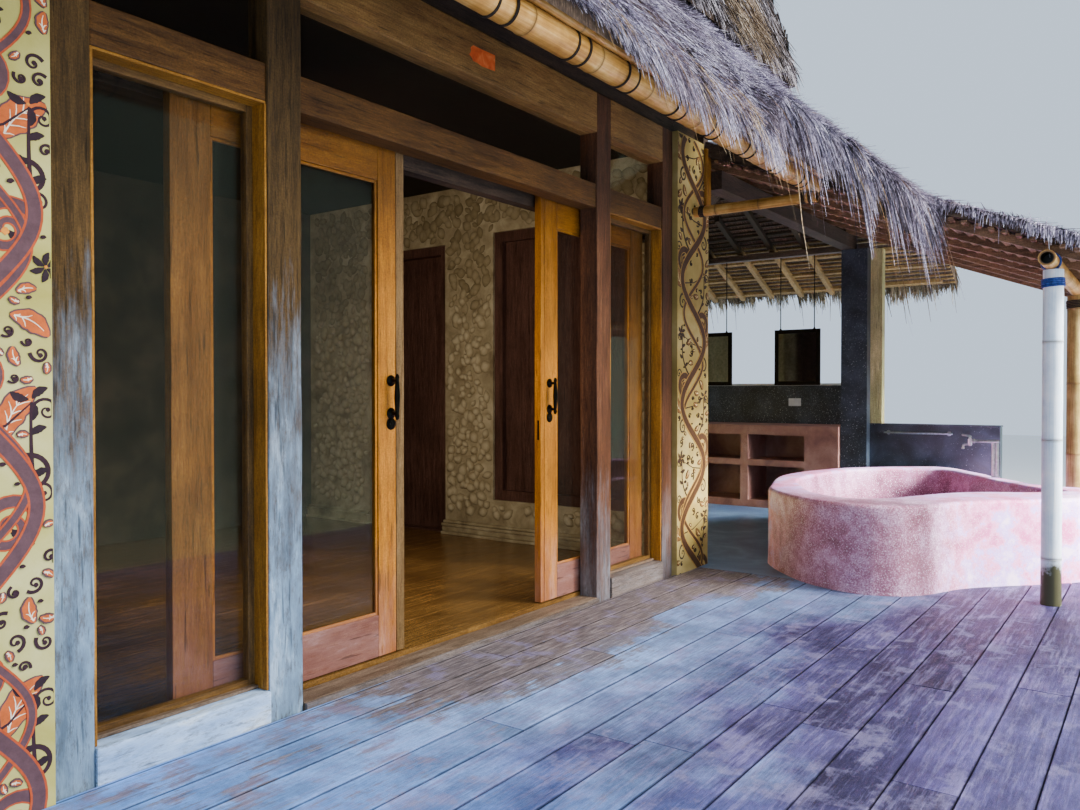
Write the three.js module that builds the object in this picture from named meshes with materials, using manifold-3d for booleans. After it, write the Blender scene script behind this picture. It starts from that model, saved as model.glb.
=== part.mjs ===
// Thatched veranda house: a timber room with sliding glazed doors, a deck in front and an open bath bay beside it.
// Millimetres. X runs along the front, Y goes into the house, Z is up.
// Pieces are laid out from the middle of the doorway at deck level; the root group moves them to ground level.
import * as THREE from 'three';
import { mergeGeometries, mergeVertices } from 'three/addons/utils/BufferGeometryUtils.js';
import Module from 'manifold-3d';

const wasm = await Module();
wasm.setup();

// heights over the deck
const GROUND = -350;
const BASE_TOP = -40;
const FLOOR = 40;
const SILL = 105;
const TRANSOM_LOW = 2164;
const TRANSOM_TOP = 2295;
const HEAD_LOW = 2572;
const HEAD_TOP = 2790;
const WALL_TOP = 3420;
const CEILING = 2745;

// front opening
const DOOR_HALF = 1000;
const POST_IN = 145;
const WINDOW_END = 1757;
const POST_END = 1887;
const FRAME_BACK = 112;
const THRESHOLD = -20;

// room
const LEFT = -2200;
const RIGHT = 2260;
const BACK = 3900;
const WALL = 175;
const WALL_FRONT = -36;
const PIER_END = 2336;
const PIER_TOP = 2680;

// leaves
const LEAF_W = 1077;
const LEAF_Y = 122;
const LEAF_T = 40;
const LEAF_LOW = 45;
const LEAF_TOP = 2190;
const LEFT_LEAD = -361;
const RIGHT_LEAD = 643;
const STILE = 150;

// lower roof
const EAVE_OUT = 900;
const EAVE_HIGH = 3333;
const THATCH_T = 290;
const EAVE_LIP = 70;
const EAVE_TURN = 1.9;
const POLE_Y = -774;
const POLE_Z = 2410;
const POLE_R = 57;

// upper roof
const UPPER_EAVE = 3210;
const UPPER_OUT = 478;
const UPPER_T = 400;
const FRONT_RISE = 1.4;
const END_RISE = 2.1;
const UPPER_LIP = 90;
const UPPER_TURN = 2.3;

// bath bay
const BATH_LEFT = 2290;
const RIDGE_Y = 800;
const RIDGE_X = 4524;
const BATH_T = 110;
const BATH_EAVE_T = 60;
const BATH_UNDER = 3034;
const BATH_RISE = 0.38;
const HIP_RISE = 0.43;
const RAFTER = 60;
const BATH_EAVE_Y = -2446;
const BATH_RIGHT = 6400;
const BATH_BACK = 2300;
const PURLIN_Y = -2018;
const PURLIN_R = 44;
const TUB_TOP = 512;

const GAP = 0.3;

function skin(color, roughness, metalness = 0) {
  return new THREE.MeshStandardMaterial({ color, roughness, metalness });
}

const MAT = {
  stone: skin(0x8d877d, 0.95),
  deck: skin(0x7d7f8c, 0.8),
  slate: skin(0x4c5663, 0.6),
  floor: skin(0x7a4f27, 0.4),
  timber: skin(0x77685c, 0.8),
  darkTimber: skin(0x4a3123, 0.7),
  honey: skin(0x9c6228, 0.5),
  sill: skin(0xb9b9b4, 0.8),
  glass: skin(0x9fb4b8, 0.05),
  iron: skin(0x1f1c1a, 0.5, 0.7),
  plaster: skin(0xd9c98f, 0.85),
  carved: skin(0xbfb49c, 0.9),
  bamboo: skin(0xc09448, 0.45),
  paleBamboo: skin(0xaeb0ab, 0.7),
  thatch: skin(0x8a8288, 1.0),
  brownThatch: skin(0x6f5a48, 1.0),
  rafter: skin(0x7a4a30, 0.8),
  terrazzo: skin(0x17181a, 0.35),
  cement: skin(0xb07a82, 0.6),
  vanity: skin(0x8f6a62, 0.7),
  steel: skin(0xb9bdc0, 0.3, 0.9),
  mirror: skin(0x222426, 0.1, 0.3),
};

const root = new THREE.Group();
root.name = 'veranda_house';

function add(name, material, ...geometries) {
  const plain = geometries.map((geometry) => {
    const flat = geometry.index ? geometry.toNonIndexed() : geometry;
    flat.deleteAttribute('uv');
    flat.deleteAttribute('normal');
    return flat;
  });
  const merged = mergeVertices(plain.length > 1 ? mergeGeometries(plain) : plain[0], 0.001);
  merged.computeVertexNormals();
  const mesh = new THREE.Mesh(merged, material);
  mesh.name = name;
  root.add(mesh);
  return mesh;
}

function box(x0, x1, y0, y1, z0, z1) {
  const geometry = new THREE.BoxGeometry(x1 - x0, y1 - y0, z1 - z0);
  return geometry.translate((x0 + x1) / 2, (y0 + y1) / 2, (z0 + z1) / 2);
}

function poleX(x0, x1, y, z, r, sides = 20) {
  const geometry = new THREE.CylinderGeometry(r, r, x1 - x0, sides);
  return geometry.rotateZ(Math.PI / 2).translate((x0 + x1) / 2, y, z);
}

function poleY(x, y0, y1, z, r, sides = 20) {
  const geometry = new THREE.CylinderGeometry(r, r, y1 - y0, sides);
  return geometry.translate(x, (y0 + y1) / 2, z);
}

function poleZ(x, y, z0, z1, r, sides = 20) {
  const geometry = new THREE.CylinderGeometry(r, r, z1 - z0, sides);
  return geometry.rotateX(Math.PI / 2).translate(x, y, (z0 + z1) / 2);
}

// a prism over a plan outline whose under and upper faces follow low(x, y) and high(x, y)
function slab(outline, low, high) {
  const shape = new THREE.Shape(outline.map(([x, y]) => new THREE.Vector2(x, y)));
  const geometry = new THREE.ExtrudeGeometry(shape, { depth: 1, bevelEnabled: false });
  const position = geometry.attributes.position;
  for (let i = 0; i < position.count; i += 1) {
    const x = position.getX(i);
    const y = position.getY(i);
    position.setZ(i, position.getZ(i) > 0.5 ? high(x, y) : low(x, y));
  }
  return geometry;
}

// the plan outline of a strip
function strip(x0, x1, y0, y1) {
  return [[x0, y0], [x1, y0], [x1, y1], [x0, y1]];
}

// the outline of a convex plan moved inwards
function inset(outline, d) {
  const count = outline.length;
  const area = outline.reduce((sum, [x, y], i) => {
    const [nx, ny] = outline[(i + 1) % count];
    return sum + x * ny - nx * y;
  }, 0);
  const turn = Math.sign(area);
  const lines = outline.map(([x, y], i) => {
    const [nx, ny] = outline[(i + 1) % count];
    const length = Math.hypot(nx - x, ny - y);
    const dx = (nx - x) / length;
    const dy = (ny - y) / length;
    return { x: x - turn * dy * d, y: y + turn * dx * d, dx, dy };
  });
  return lines.map((b, i) => {
    const a = lines[(i + count - 1) % count];
    const cross = a.dx * b.dy - a.dy * b.dx;
    const t = ((b.x - a.x) * b.dy - (b.y - a.y) * b.dx) / cross;
    return [a.x + a.dx * t, a.y + a.dy * t];
  });
}

function toManifold(geometry) {
  const plain = geometry.index ? geometry.toNonIndexed() : geometry.clone();
  plain.deleteAttribute('uv');
  plain.deleteAttribute('normal');
  const merged = mergeVertices(plain, 0.001);
  const vertProperties = new Float32Array(merged.attributes.position.array);
  const triVerts = new Uint32Array(merged.index.array);
  return new wasm.Manifold(new wasm.Mesh({ numProp: 3, vertProperties, triVerts }));
}

function toGeometry(solid) {
  const mesh = solid.getMesh();
  const geometry = new THREE.BufferGeometry();
  geometry.setAttribute('position', new THREE.BufferAttribute(new Float32Array(mesh.vertProperties), 3));
  geometry.setIndex(new THREE.BufferAttribute(new Uint32Array(mesh.triVerts), 1));
  return geometry;
}

function cut(body, ...tools) {
  const solid = tools.reduce((rest, tool) => rest.subtract(toManifold(tool)), toManifold(body));
  return toGeometry(solid);
}

function join(...bodies) {
  const [first, ...rest] = bodies.map(toManifold);
  return toGeometry(rest.reduce((sum, body) => sum.add(body), first));
}

// a closed smooth outline through plan points
function smooth(points, count) {
  const curve = new THREE.SplineCurve([...points, points[0]].map(([x, y]) => new THREE.Vector2(x, y)));
  return curve.getPoints(count).slice(0, -1).map((p) => [p.x, p.y]);
}

const TUB_OUTER = [
  [2797, -293], [2504, -418], [2180, -721], [2040, -1010], [2060, -1230], [2200, -1410], [2560, -1590],
  [2930, -1930], [3220, -2160], [3560, -2240], [3800, -2080], [3850, -1850], [4229, -1537], [4647, -1290],
  [5030, -960], [4762, -554], [4334, -250], [3560, -110],
];
const TUB_INNER = [
  [3257, -330], [2807, -523], [2494, -710], [2337, -960], [2452, -1150], [2692, -1265], [2954, -1391],
  [3142, -1560], [3330, -1840], [3520, -1990], [3640, -1930], [3700, -1790], [4060, -1500], [4500, -1240],
  [4800, -960], [4600, -600], [4229, -390], [3740, -310],
];

function tubOutline(grow = 0) {
  const outline = smooth(TUB_OUTER, 60);
  if (grow === 0) return outline;
  const cx = 3500;
  const cy = -1050;
  return outline.map(([x, y]) => {
    const length = Math.hypot(x - cx, y - cy);
    return [x + ((x - cx) / length) * grow, y + ((y - cy) / length) * grow];
  });
}

// ground works and floors
function plinth() {
  const outline = [
    [-2700, -2750], [5990, -2750], [5990, 1910], [RIGHT + 20, 1910], [RIGHT + 20, BACK + 20],
    [LEFT - 20, BACK + 20], [LEFT - 20, -140], [-2700, -140],
  ];
  add('plinth', MAT.stone, slab(outline, () => GROUND, () => BASE_TOP));
}

function deck() {
  const outline = [
    [-2750, -2800], [5560, -2800], [5560, -1900], [3300, -1900], [3300, -1150], [2200, -1150],
    [2200, WALL_FRONT - GAP], [POST_END, WALL_FRONT - GAP], [POST_END, THRESHOLD - GAP],
    [-POST_END, THRESHOLD - GAP], [-POST_END, WALL_FRONT - GAP], [-2750, WALL_FRONT - GAP],
  ];
  const boards = slab(outline, () => BASE_TOP, () => 0);
  add('deck', MAT.deck, cut(boards, slab(tubOutline(3), () => BASE_TOP - 10, () => 10)));
}

function bathFloor() {
  const outline = [[2202, -1148], [3302, -1148], [3302, -1898], [5990, -1898], [5990, 1910], [2202, 1910]];
  const slabBody = slab(outline, () => BASE_TOP, () => 0);
  const wallFoot = box(2190, RIGHT + GAP, 0, 1920, BASE_TOP - 10, 10);
  const pierFoot = box(2190, PIER_END + GAP, WALL_FRONT - GAP, FRAME_BACK + GAP, BASE_TOP - 10, 10);
  const tub = slab(tubOutline(3), () => BASE_TOP - 10, () => 10);
  add('bath_floor', MAT.slate, cut(slabBody, wallFoot, pierFoot, tub));
}

function roomFloor() {
  add('room_floor', MAT.floor, box(LEFT + WALL + GAP, RIGHT - WALL - GAP, FRAME_BACK + GAP, BACK - WALL - GAP,
    BASE_TOP, FLOOR));
}

// timber front
function frontSill() {
  const inner = DOOR_HALF + POST_IN + GAP;
  const end = WINDOW_END - GAP;
  add('front_sill', MAT.sill, join(
    box(-end, end, -10, FRAME_BACK, BASE_TOP, -5),
    box(-DOOR_HALF + GAP, DOOR_HALF - GAP, THRESHOLD, FRAME_BACK, BASE_TOP, 22),
    box(-end, -inner, -10, FRAME_BACK, BASE_TOP, SILL),
    box(inner, end, -10, FRAME_BACK, BASE_TOP, SILL),
  ));
}

function frontFrame() {
  const outer = POST_END - GAP;
  const lights = box(-WINDOW_END, WINDOW_END, 60, FRAME_BACK + 5, TRANSOM_TOP, HEAD_LOW);
  add('front_frame', MAT.timber, cut(join(
    box(-outer, -WINDOW_END, 0, FRAME_BACK, BASE_TOP, HEAD_TOP),
    box(-DOOR_HALF - POST_IN, -DOOR_HALF, 0, FRAME_BACK, -5 + GAP, HEAD_TOP),
    box(DOOR_HALF, DOOR_HALF + POST_IN, 0, FRAME_BACK, -5 + GAP, HEAD_TOP),
    box(WINDOW_END, outer, 0, FRAME_BACK, BASE_TOP, HEAD_TOP),
    box(-outer, outer, 8, FRAME_BACK, TRANSOM_LOW, TRANSOM_TOP),
    box(-outer, outer, 0, FRAME_BACK, HEAD_LOW, HEAD_TOP),
  ), lights));
  add('front_frieze', MAT.darkTimber, box(LEFT, RIGHT, 20, FRAME_BACK, HEAD_TOP + GAP, WALL_TOP));
}

function windows() {
  const inner = DOOR_HALF + POST_IN + GAP;
  const outer = WINDOW_END - GAP;
  const w = 32;
  const z0 = SILL + GAP;
  const z1 = TRANSOM_LOW - GAP;
  for (const [name, x0, x1] of [['window_left', -outer, -inner], ['window_right', inner, outer]]) {
    const rim = cut(box(x0, x1, 76, 110, z0, z1), box(x0 + w, x1 - w, 70, 115, z0 + w, z1 - w));
    add(name, MAT.honey, join(rim, box(x0 + w - 5, x1 - w + 5, 88, 96, z0 + w - 5, z1 - w + 5)));
  }
  add('transom_glass', MAT.glass,
    box(-WINDOW_END + GAP, WINDOW_END - GAP, 60 + GAP, 67, TRANSOM_TOP + GAP, HEAD_LOW - GAP));
}

// walls
function frontWalls() {
  add('wall_front_left', MAT.plaster, box(LEFT, -POST_END, WALL_FRONT, FRAME_BACK, BASE_TOP, HEAD_TOP));
  add('wall_front_right', MAT.plaster, join(
    box(POST_END, RIGHT, WALL_FRONT, FRAME_BACK, BASE_TOP, HEAD_TOP),
    box(POST_END, PIER_END, WALL_FRONT, FRAME_BACK, BASE_TOP, PIER_TOP),
  ));
}

const SIDE_WINDOW = { y0: 420, y1: 1614, z0: 335, z1: 2360 };
const SIDE_DOOR = { y0: 2099, y1: 2950, z0: FLOOR, z1: 2315 };

function roomWalls() {
  const y0 = FRAME_BACK + GAP;
  const y1 = BACK - WALL - GAP;
  add('wall_left', MAT.plaster, box(LEFT, LEFT + WALL, y0, y1, BASE_TOP, WALL_TOP));
  add('wall_back', MAT.plaster, box(LEFT, RIGHT, BACK - WALL, BACK, BASE_TOP, WALL_TOP));
  const w = SIDE_WINDOW;
  const d = SIDE_DOOR;
  add('wall_right', MAT.carved, cut(
    box(RIGHT - WALL, RIGHT, y0, y1, BASE_TOP, WALL_TOP),
    box(RIGHT - WALL - 5, RIGHT + 5, w.y0, w.y1, w.z0, w.z1),
    box(RIGHT - WALL - 5, RIGHT + 5, d.y0, d.y1, BASE_TOP - 5, d.z1),
  ));
}

function sideOpenings() {
  const w = SIDE_WINDOW;
  const d = SIDE_DOOR;
  const x0 = RIGHT - WALL + 20;
  const x1 = RIGHT - 20;
  const rim = cut(
    box(x0, x1, w.y0 + GAP, w.y1 - GAP, w.z0 + GAP, w.z1 - GAP),
    box(x0 - 5, x1 + 5, w.y0 + 75, w.y1 - 75, w.z0 + 75, w.z1 - 75),
  );
  const pane = box(x0 + 50, x0 + 58, w.y0 + 70, w.y1 - 70, w.z0 + 70, w.z1 - 70);
  add('side_window', MAT.darkTimber, join(rim, pane));
  const jambA = box(x0, x1, d.y0 + GAP, d.y0 + 60, BASE_TOP, d.z1 - GAP);
  const jambB = box(x0, x1, d.y1 - 60, d.y1 - GAP, BASE_TOP, d.z1 - GAP);
  const head = box(x0, x1, d.y0 + 59, d.y1 - 59, d.z1 - 70, d.z1 - GAP);
  const step = box(x0, x1, d.y0 + 59, d.y1 - 59, BASE_TOP, FLOOR + 10);
  const panel = box(x1 - 50, x1 - 10, d.y0 + 59, d.y1 - 59, FLOOR, d.z1 - 60);
  add('side_door', MAT.darkTimber, join(jambA, jambB, head, step, panel));
}

// sliding leaves
function leafFrame(lead, side) {
  const x0 = side < 0 ? lead - LEAF_W : lead;
  const x1 = x0 + LEAF_W;
  const frame = box(x0, x1, LEAF_Y, LEAF_Y + LEAF_T, LEAF_LOW, LEAF_TOP);
  const light = box(x0 + STILE, x1 - STILE, LEAF_Y - 5, LEAF_Y + LEAF_T + 5, 220, 2030);
  const wheels = [x0 + 130, x1 - 130].map((x) => poleY(x, LEAF_Y + 13, LEAF_Y + 27, FLOOR + 18.5, 18, 24));
  return join(cut(frame, light), ...wheels);
}

function leafGlass(lead, side) {
  const x0 = side < 0 ? lead - LEAF_W : lead;
  const x1 = x0 + LEAF_W;
  return box(x0 + STILE + GAP, x1 - STILE - GAP, LEAF_Y + 17, LEAF_Y + 23, 220 + GAP, 2030 - GAP);
}

function leafHandle(lead, side) {
  const x = lead + side * 78;
  const face = LEAF_Y - GAP;
  const parts = [poleY(x, face - 6, face, 1018, 24, 18)];
  for (const z of [1062, 1200]) {
    parts.push(poleY(x, face - 6, face, z, 24, 18));
    parts.push(poleY(x, face - 42, face - 5, z, 7, 12));
  }
  parts.push(poleZ(x, face - 42, 1035, 1228, 9, 14));
  return join(...parts);
}

function leaves() {
  for (const [name, lead, side] of [['left', LEFT_LEAD, -1], ['right', RIGHT_LEAD, 1]]) {
    add(`${name}_leaf_frame`, MAT.honey, leafFrame(lead, side));
    add(`${name}_leaf_glass`, MAT.glass, leafGlass(lead, side));
    add(`${name}_leaf_handle`, MAT.iron, leafHandle(lead, side));
  }
}

function doorTrack() {
  const x0 = LEFT + WALL + GAP;
  const x1 = RIGHT - WALL - GAP;
  const over = box(x0, x1, FRAME_BACK + GAP, 180, LEAF_TOP + 10, TRANSOM_TOP);
  const behind = box(x0, x1, LEAF_Y + LEAF_T + 12, 240, 2125, TRANSOM_TOP);
  add('door_track', MAT.darkTimber, join(over, behind));
}

function ceiling() {
  add('ceiling', MAT.darkTimber, box(LEFT + WALL + GAP, RIGHT - WALL - GAP, FRAME_BACK + GAP, BACK - WALL - GAP,
    CEILING, CEILING + 40));
}

// lower roof
// a thatch slope over a plan outline, turned down towards its eave; reach(x, y) is the distance in from the eave
function slope(outline, reach, eaveLow, rise, thickness, lip, turn) {
  const low = (x, y) => eaveLow + rise * reach(x, y);
  const body = slab(inset(outline, GAP / 2), low, (x, y) => low(x, y) + thickness);
  const cap = slab(strip(-9000, 9000, -9000, 9000), (x, y) => eaveLow + lip + rise * turn * reach(x, y),
    (x, y) => eaveLow + 40000 + rise * turn * reach(x, y));
  return cut(body, cap);
}

function lowerRoof() {
  const out = EAVE_OUT;
  const x0 = LEFT - GAP;
  const x1 = RIGHT + GAP;
  const y0 = 20 - GAP;
  const y1 = BACK + GAP;
  const front = [[x0 - out, y0 - out], [BATH_LEFT - 5, y0 - out], [BATH_LEFT - 5, y0], [x0, y0]];
  const left = [[x0 - out, y0 - out], [x0, y0], [x0, y1], [x0 - out, y1 + out]];
  const back = [[x0 - out, y1 + out], [x0, y1], [x1, y1], [x1 + out, y1 + out]];
  const right = [[x1 + out, y1 + out], [x1, y1], [x1, BATH_BACK + 120], [x1 + out, BATH_BACK + 120]];
  const set = [
    ['thatch_front', front, (x, y) => y - y0 + out],
    ['thatch_left', left, (x) => x - x0 + out],
    ['thatch_back', back, (x, y) => y1 + out - y],
    ['thatch_right', right, (x) => x1 + out - x],
  ];
  for (const [name, outline, reach] of set) {
    add(name, MAT.thatch, slope(outline, reach, EAVE_HIGH - out, 1, THATCH_T, EAVE_LIP, EAVE_TURN));
  }
}

// the sweep of thatch that brings the front eave down and forward to the bath roof
function cornerSweep() {
  const yTop = 20 - EAVE_OUT - GAP * 2;
  const outline = [[1400, yTop], [BATH_LEFT - 5, yTop - 575], [BATH_LEFT - 5, yTop]];
  const top = (x, y) => 2700 + 0.87 * (y - yTop);
  add('thatch_corner', MAT.thatch, slab(outline, (x, y) => top(x, y) - 250, top));
}

function eavePole() {
  const pole = poleX(-2960, 2240, POLE_Y, POLE_Z, POLE_R, 24);
  const batten = poleX(-2940, 2230, POLE_Y - 51.6, POLE_Z + 51.6, 18, 12);
  add('eave_pole', MAT.bamboo, join(pole, batten));
  for (const [name, x] of [['eave_strut_left', -2070], ['eave_strut_right', 2130]]) {
    add(name, MAT.bamboo, poleY(x, POLE_Y - 60, WALL_FRONT - GAP, POLE_Z - POLE_R - 34, 34, 16));
  }
}

// upper roof
function upperRoof() {
  const x0 = LEFT - UPPER_OUT;
  const x1 = RIGHT + UPPER_OUT;
  const y0 = -UPPER_OUT;
  const y1 = BACK + UPPER_OUT;
  const yMid = (y0 + y1) / 2;
  const rise = (yMid - y0) * FRONT_RISE;
  const run = rise / END_RISE;
  const a = [x0 + run, yMid];
  const b = [x1 - run, yMid];
  const set = [
    ['upper_thatch_front', [[x0, y0], [x1, y0], b, a], (x, y) => y - y0, FRONT_RISE],
    ['upper_thatch_right', [[x1, y0], [x1, y1], b], (x) => x1 - x, END_RISE],
    ['upper_thatch_back', [[x1, y1], [x0, y1], a, b], (x, y) => y1 - y, FRONT_RISE],
    ['upper_thatch_left', [[x0, y1], [x0, y0], a], (x) => x - x0, END_RISE],
  ];
  for (const [name, outline, reach, tilt] of set) {
    add(name, MAT.brownThatch, slope(outline, reach, UPPER_EAVE, tilt, UPPER_T, UPPER_LIP, UPPER_TURN));
  }
  ridge(a[0], b[0], yMid, UPPER_EAVE + rise + UPPER_T);
}

// a thatch roll over the top, rising gently towards both ends
function ridge(x0, x1, y, z) {
  const mid = (x0 + x1) / 2;
  const half = (x1 - x0) / 2 + 160;
  const count = 12;
  const outline = [];
  for (let i = 0; i <= count; i += 1) {
    const u = (i / count) * 2 - 1;
    outline.push([mid + u * half, z + 120 + 190 * u * u]);
  }
  outline.push([mid + half, z - 330]);
  outline.push([mid - half, z - 330]);
  const shape = new THREE.Shape(outline.map(([x, h]) => new THREE.Vector2(x, h)));
  const body = new THREE.ExtrudeGeometry(shape, { depth: 560, bevelEnabled: false });
  body.rotateX(Math.PI / 2).translate(0, y + 280, 0);
  const xa = x0 - 400;
  const xb = x1 + 400;
  const roofFront = slab([[x0 - 1200, y - 900], [x1 + 1200, y - 900], [x1 + 1200, y], [x0 - 1200, y]],
    () => z - 3000, (px, py) => z + FRONT_RISE * (py - y) + GAP);
  const roofBack = slab([[x0 - 1200, y], [x1 + 1200, y], [x1 + 1200, y + 900], [x0 - 1200, y + 900]],
    () => z - 3000, (px, py) => z - FRONT_RISE * (py - y) + GAP);
  const endA = slab([[xa - 900, y - 900], [x0, y - 900], [x0, y + 900], [xa - 900, y + 900]],
    () => z - 3000, (px) => z + END_RISE * (px - x0) + GAP);
  const endB = slab([[x1, y - 900], [xb + 900, y - 900], [xb + 900, y + 900], [x1, y + 900]],
    () => z - 3000, (px) => z - END_RISE * (px - x1) + GAP);
  const core = toManifold(roofFront).add(toManifold(roofBack));
  const left = core.intersect(toManifold(endA));
  const right = core.intersect(toManifold(endB));
  const middle = core.intersect(toManifold(box(x0, x1, y - 900, y + 900, z - 3000, z + 100)));
  const hull = left.add(middle).add(right);
  add('ridge', MAT.brownThatch, toGeometry(toManifold(body).subtract(hull)));
}

function upperFrame() {
  const frontTop = UPPER_EAVE + FRONT_RISE * (20 + UPPER_OUT) - 1;
  const endTop = UPPER_EAVE + END_RISE * (UPPER_OUT + 20) - 1;
  const low = WALL_TOP + GAP;
  const parts = [];
  for (const [y0, y1] of [[20, 100], [BACK - 100, BACK - 20]]) {
    const y = (y0 + y1) / 2;
    parts.push(box(LEFT + 20, RIGHT - 20, y0, y1, low, low + 60));
    parts.push(box(LEFT + 60, RIGHT - 60, y0, y1, frontTop - 90, frontTop));
    for (const x of [LEFT + 110, -700, 730, RIGHT - 110]) {
      parts.push(poleZ(x, y, low + 5, frontTop - 80, 38, 16));
    }
  }
  for (const [x0, x1] of [[LEFT + 20, LEFT + 100], [RIGHT - 100, RIGHT - 20]]) {
    const x = (x0 + x1) / 2;
    parts.push(box(x0, x1, 60, BACK - 60, low, low + 60));
    parts.push(box(x0, x1, 310, BACK - 310, endTop - 90, endTop));
    for (const y of [400, BACK / 2, BACK - 400]) {
      parts.push(poleZ(x, y, low + 5, endTop - 80, 38, 16));
    }
  }
  add('upper_frame', MAT.bamboo, join(...parts));
}

// bath bay
function bathUnderFront(x, y) {
  return BATH_UNDER - BATH_RISE * (RIDGE_Y - y);
}

function bathUnderBack(x, y) {
  return BATH_UNDER - BATH_RISE * (y - RIDGE_Y);
}

function bathUnderRight(x) {
  return BATH_UNDER - HIP_RISE * (x - RIDGE_X);
}

function bathRoof() {
  const hipX = 5950;
  const hipY = RIDGE_Y - (HIP_RISE * (hipX - RIDGE_X)) / BATH_RISE;
  const backX = RIDGE_X + (BATH_RISE * (BATH_BACK - RIDGE_Y)) / HIP_RISE;
  const top = [RIDGE_X, RIDGE_Y];
  const front = [[BATH_LEFT, BATH_EAVE_Y], [hipX, BATH_EAVE_Y], [hipX, hipY], top, [BATH_LEFT, RIDGE_Y]];
  const right = [top, [hipX, hipY], [BATH_RIGHT, hipY], [BATH_RIGHT, BATH_BACK], [backX, BATH_BACK]];
  const back = [[BATH_LEFT, RIDGE_Y], top, [backX, BATH_BACK], [BATH_LEFT, BATH_BACK]];
  const taper = (BATH_T - BATH_EAVE_T) / (RIDGE_Y - BATH_EAVE_Y);
  const set = [
    ['lean_to_thatch', front, bathUnderFront, taper],
    ['bath_thatch_right', right, bathUnderRight, 0],
    ['bath_thatch_back', back, bathUnderBack, 0],
  ];
  for (const [name, outline, under, thin] of set) {
    const top = (x, y) => under(x, y) + BATH_T - thin * (RIDGE_Y - y);
    add(name, MAT.thatch, slab(inset(outline, GAP / 2), under, top));
  }
}

function leanToRafters() {
  const low = (x, y) => bathUnderFront(x, y) - RAFTER;
  const mid = (x, y) => bathUnderFront(x, y) - 8;
  const high = (x, y) => bathUnderFront(x, y) - GAP;
  const parts = [];
  for (let i = 0; i < 7; i += 1) {
    const x = 2420 + i * 560;
    const y1 = RIDGE_Y - 30 - (HIP_RISE * Math.max(0, x + 60 - RIDGE_X)) / BATH_RISE;
    parts.push(slab(strip(x - 25, x + 25, -2400, y1), low, mid));
  }
  for (let i = 0; i < 9; i += 1) {
    const y = -2340 + i * 370;
    const x1 = Math.min(5820, RIDGE_X + (BATH_RISE * (RIDGE_Y - y)) / HIP_RISE - 110);
    const batten = (px, py) => high(px, py) - 26;
    parts.push(slab(strip(2350, x1, y - 15, y + 15), batten, high));
  }
  add('lean_to_rafters', MAT.rafter, join(...parts));
}

function bathRafters() {
  const low = (x) => bathUnderRight(x) - RAFTER;
  const mid = (x) => bathUnderRight(x) - 8;
  const high = (x) => bathUnderRight(x) - GAP;
  const parts = [];
  for (let i = 0; i < 6; i += 1) {
    const y = 60 + i * 335;
    const x0 = RIDGE_X + (BATH_RISE * Math.abs(y - RIDGE_Y)) / HIP_RISE + 120;
    parts.push(slab(strip(x0, 6340, y - 25, y + 25), low, mid));
  }
  for (const x of [5250, 5700, 6000, 6300]) {
    const reach = (HIP_RISE * (x - RIDGE_X)) / BATH_RISE - 130;
    const y0 = Math.max(RIDGE_Y - reach, -700);
    const y1 = Math.min(RIDGE_Y + reach, 1900);
    parts.push(slab(strip(x - 15, x + 15, y0, y1), (px) => high(px) - 26, high));
  }
  add('bath_rafters', MAT.rafter, join(...parts));
}

function bathFrame() {
  const beamTop = bathUnderFront(0, -130) - RAFTER - GAP;
  add('bath_beam', MAT.darkTimber, box(PIER_END + GAP, 5385, -130, -10, 2500, beamTop));
  const plankTop = bathUnderRight(5500) - RAFTER - GAP;
  add('bath_plank', MAT.sill, box(5400, 5500, -245, 1885, 2500, plankTop));
  add('bath_column', MAT.terrazzo, box(5316, 5556, -250, -10, 0, 2500 - GAP));
  add('timber_post', MAT.bamboo, box(5425, 5525, -355, -250 - GAP, 847 + GAP, 2500));
  const purlinZ = bathUnderFront(0, PURLIN_Y) - RAFTER - GAP - PURLIN_R * Math.hypot(1, BATH_RISE);
  const postTop = purlinZ - PURLIN_R - GAP;
  add('lean_to_purlin', MAT.bamboo, poleX(2200, 5900, PURLIN_Y, purlinZ, PURLIN_R, 24));
  add('bamboo_post_left', MAT.paleBamboo, poleZ(2389, PURLIN_Y - 12, 0, postTop, 52, 24));
  add('bamboo_post_middle', MAT.bamboo, poleZ(3935, PURLIN_Y, 0, postTop, 56, 24));
  add('bamboo_post_right', MAT.bamboo, poleZ(5470, PURLIN_Y, 0, postTop, 50, 24));
}

function bathWalls() {
  add('vanity_wall', MAT.terrazzo, box(5850 + GAP, 5970, 0, 1890, 0, 1223));
  add('low_wall', MAT.terrazzo, box(5421, 5541, -1349, -250 - GAP, 0, 847));
  const top = bathUnderBack(0, 1890) - GAP;
  add('bath_wall_back', MAT.plaster, cut(
    box(RIGHT + GAP, 5560, 1770, 1890, 0, top),
    box(5395, 5570, 1760, 1900, 2500 - GAP, top + 10),
  ));
}

function vanity() {
  const body = box(5275, 5850, 0, 1640, 0, 826);
  const niches = [];
  for (const [y0, y1] of [[325, 900], [980, 1560]]) {
    niches.push(box(5270, 5760, y0, y1, 70, 420));
    niches.push(box(5270, 5760, y0, y1, 480, 730));
  }
  add('vanity', MAT.vanity, cut(body, ...niches));
}

function tub() {
  const body = slab(tubOutline(), () => BASE_TOP, () => TUB_TOP);
  const basin = slab(smooth(TUB_INNER, 60), () => 60, () => TUB_TOP + 10);
  add('tub', MAT.cement, cut(body, basin));
}

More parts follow.
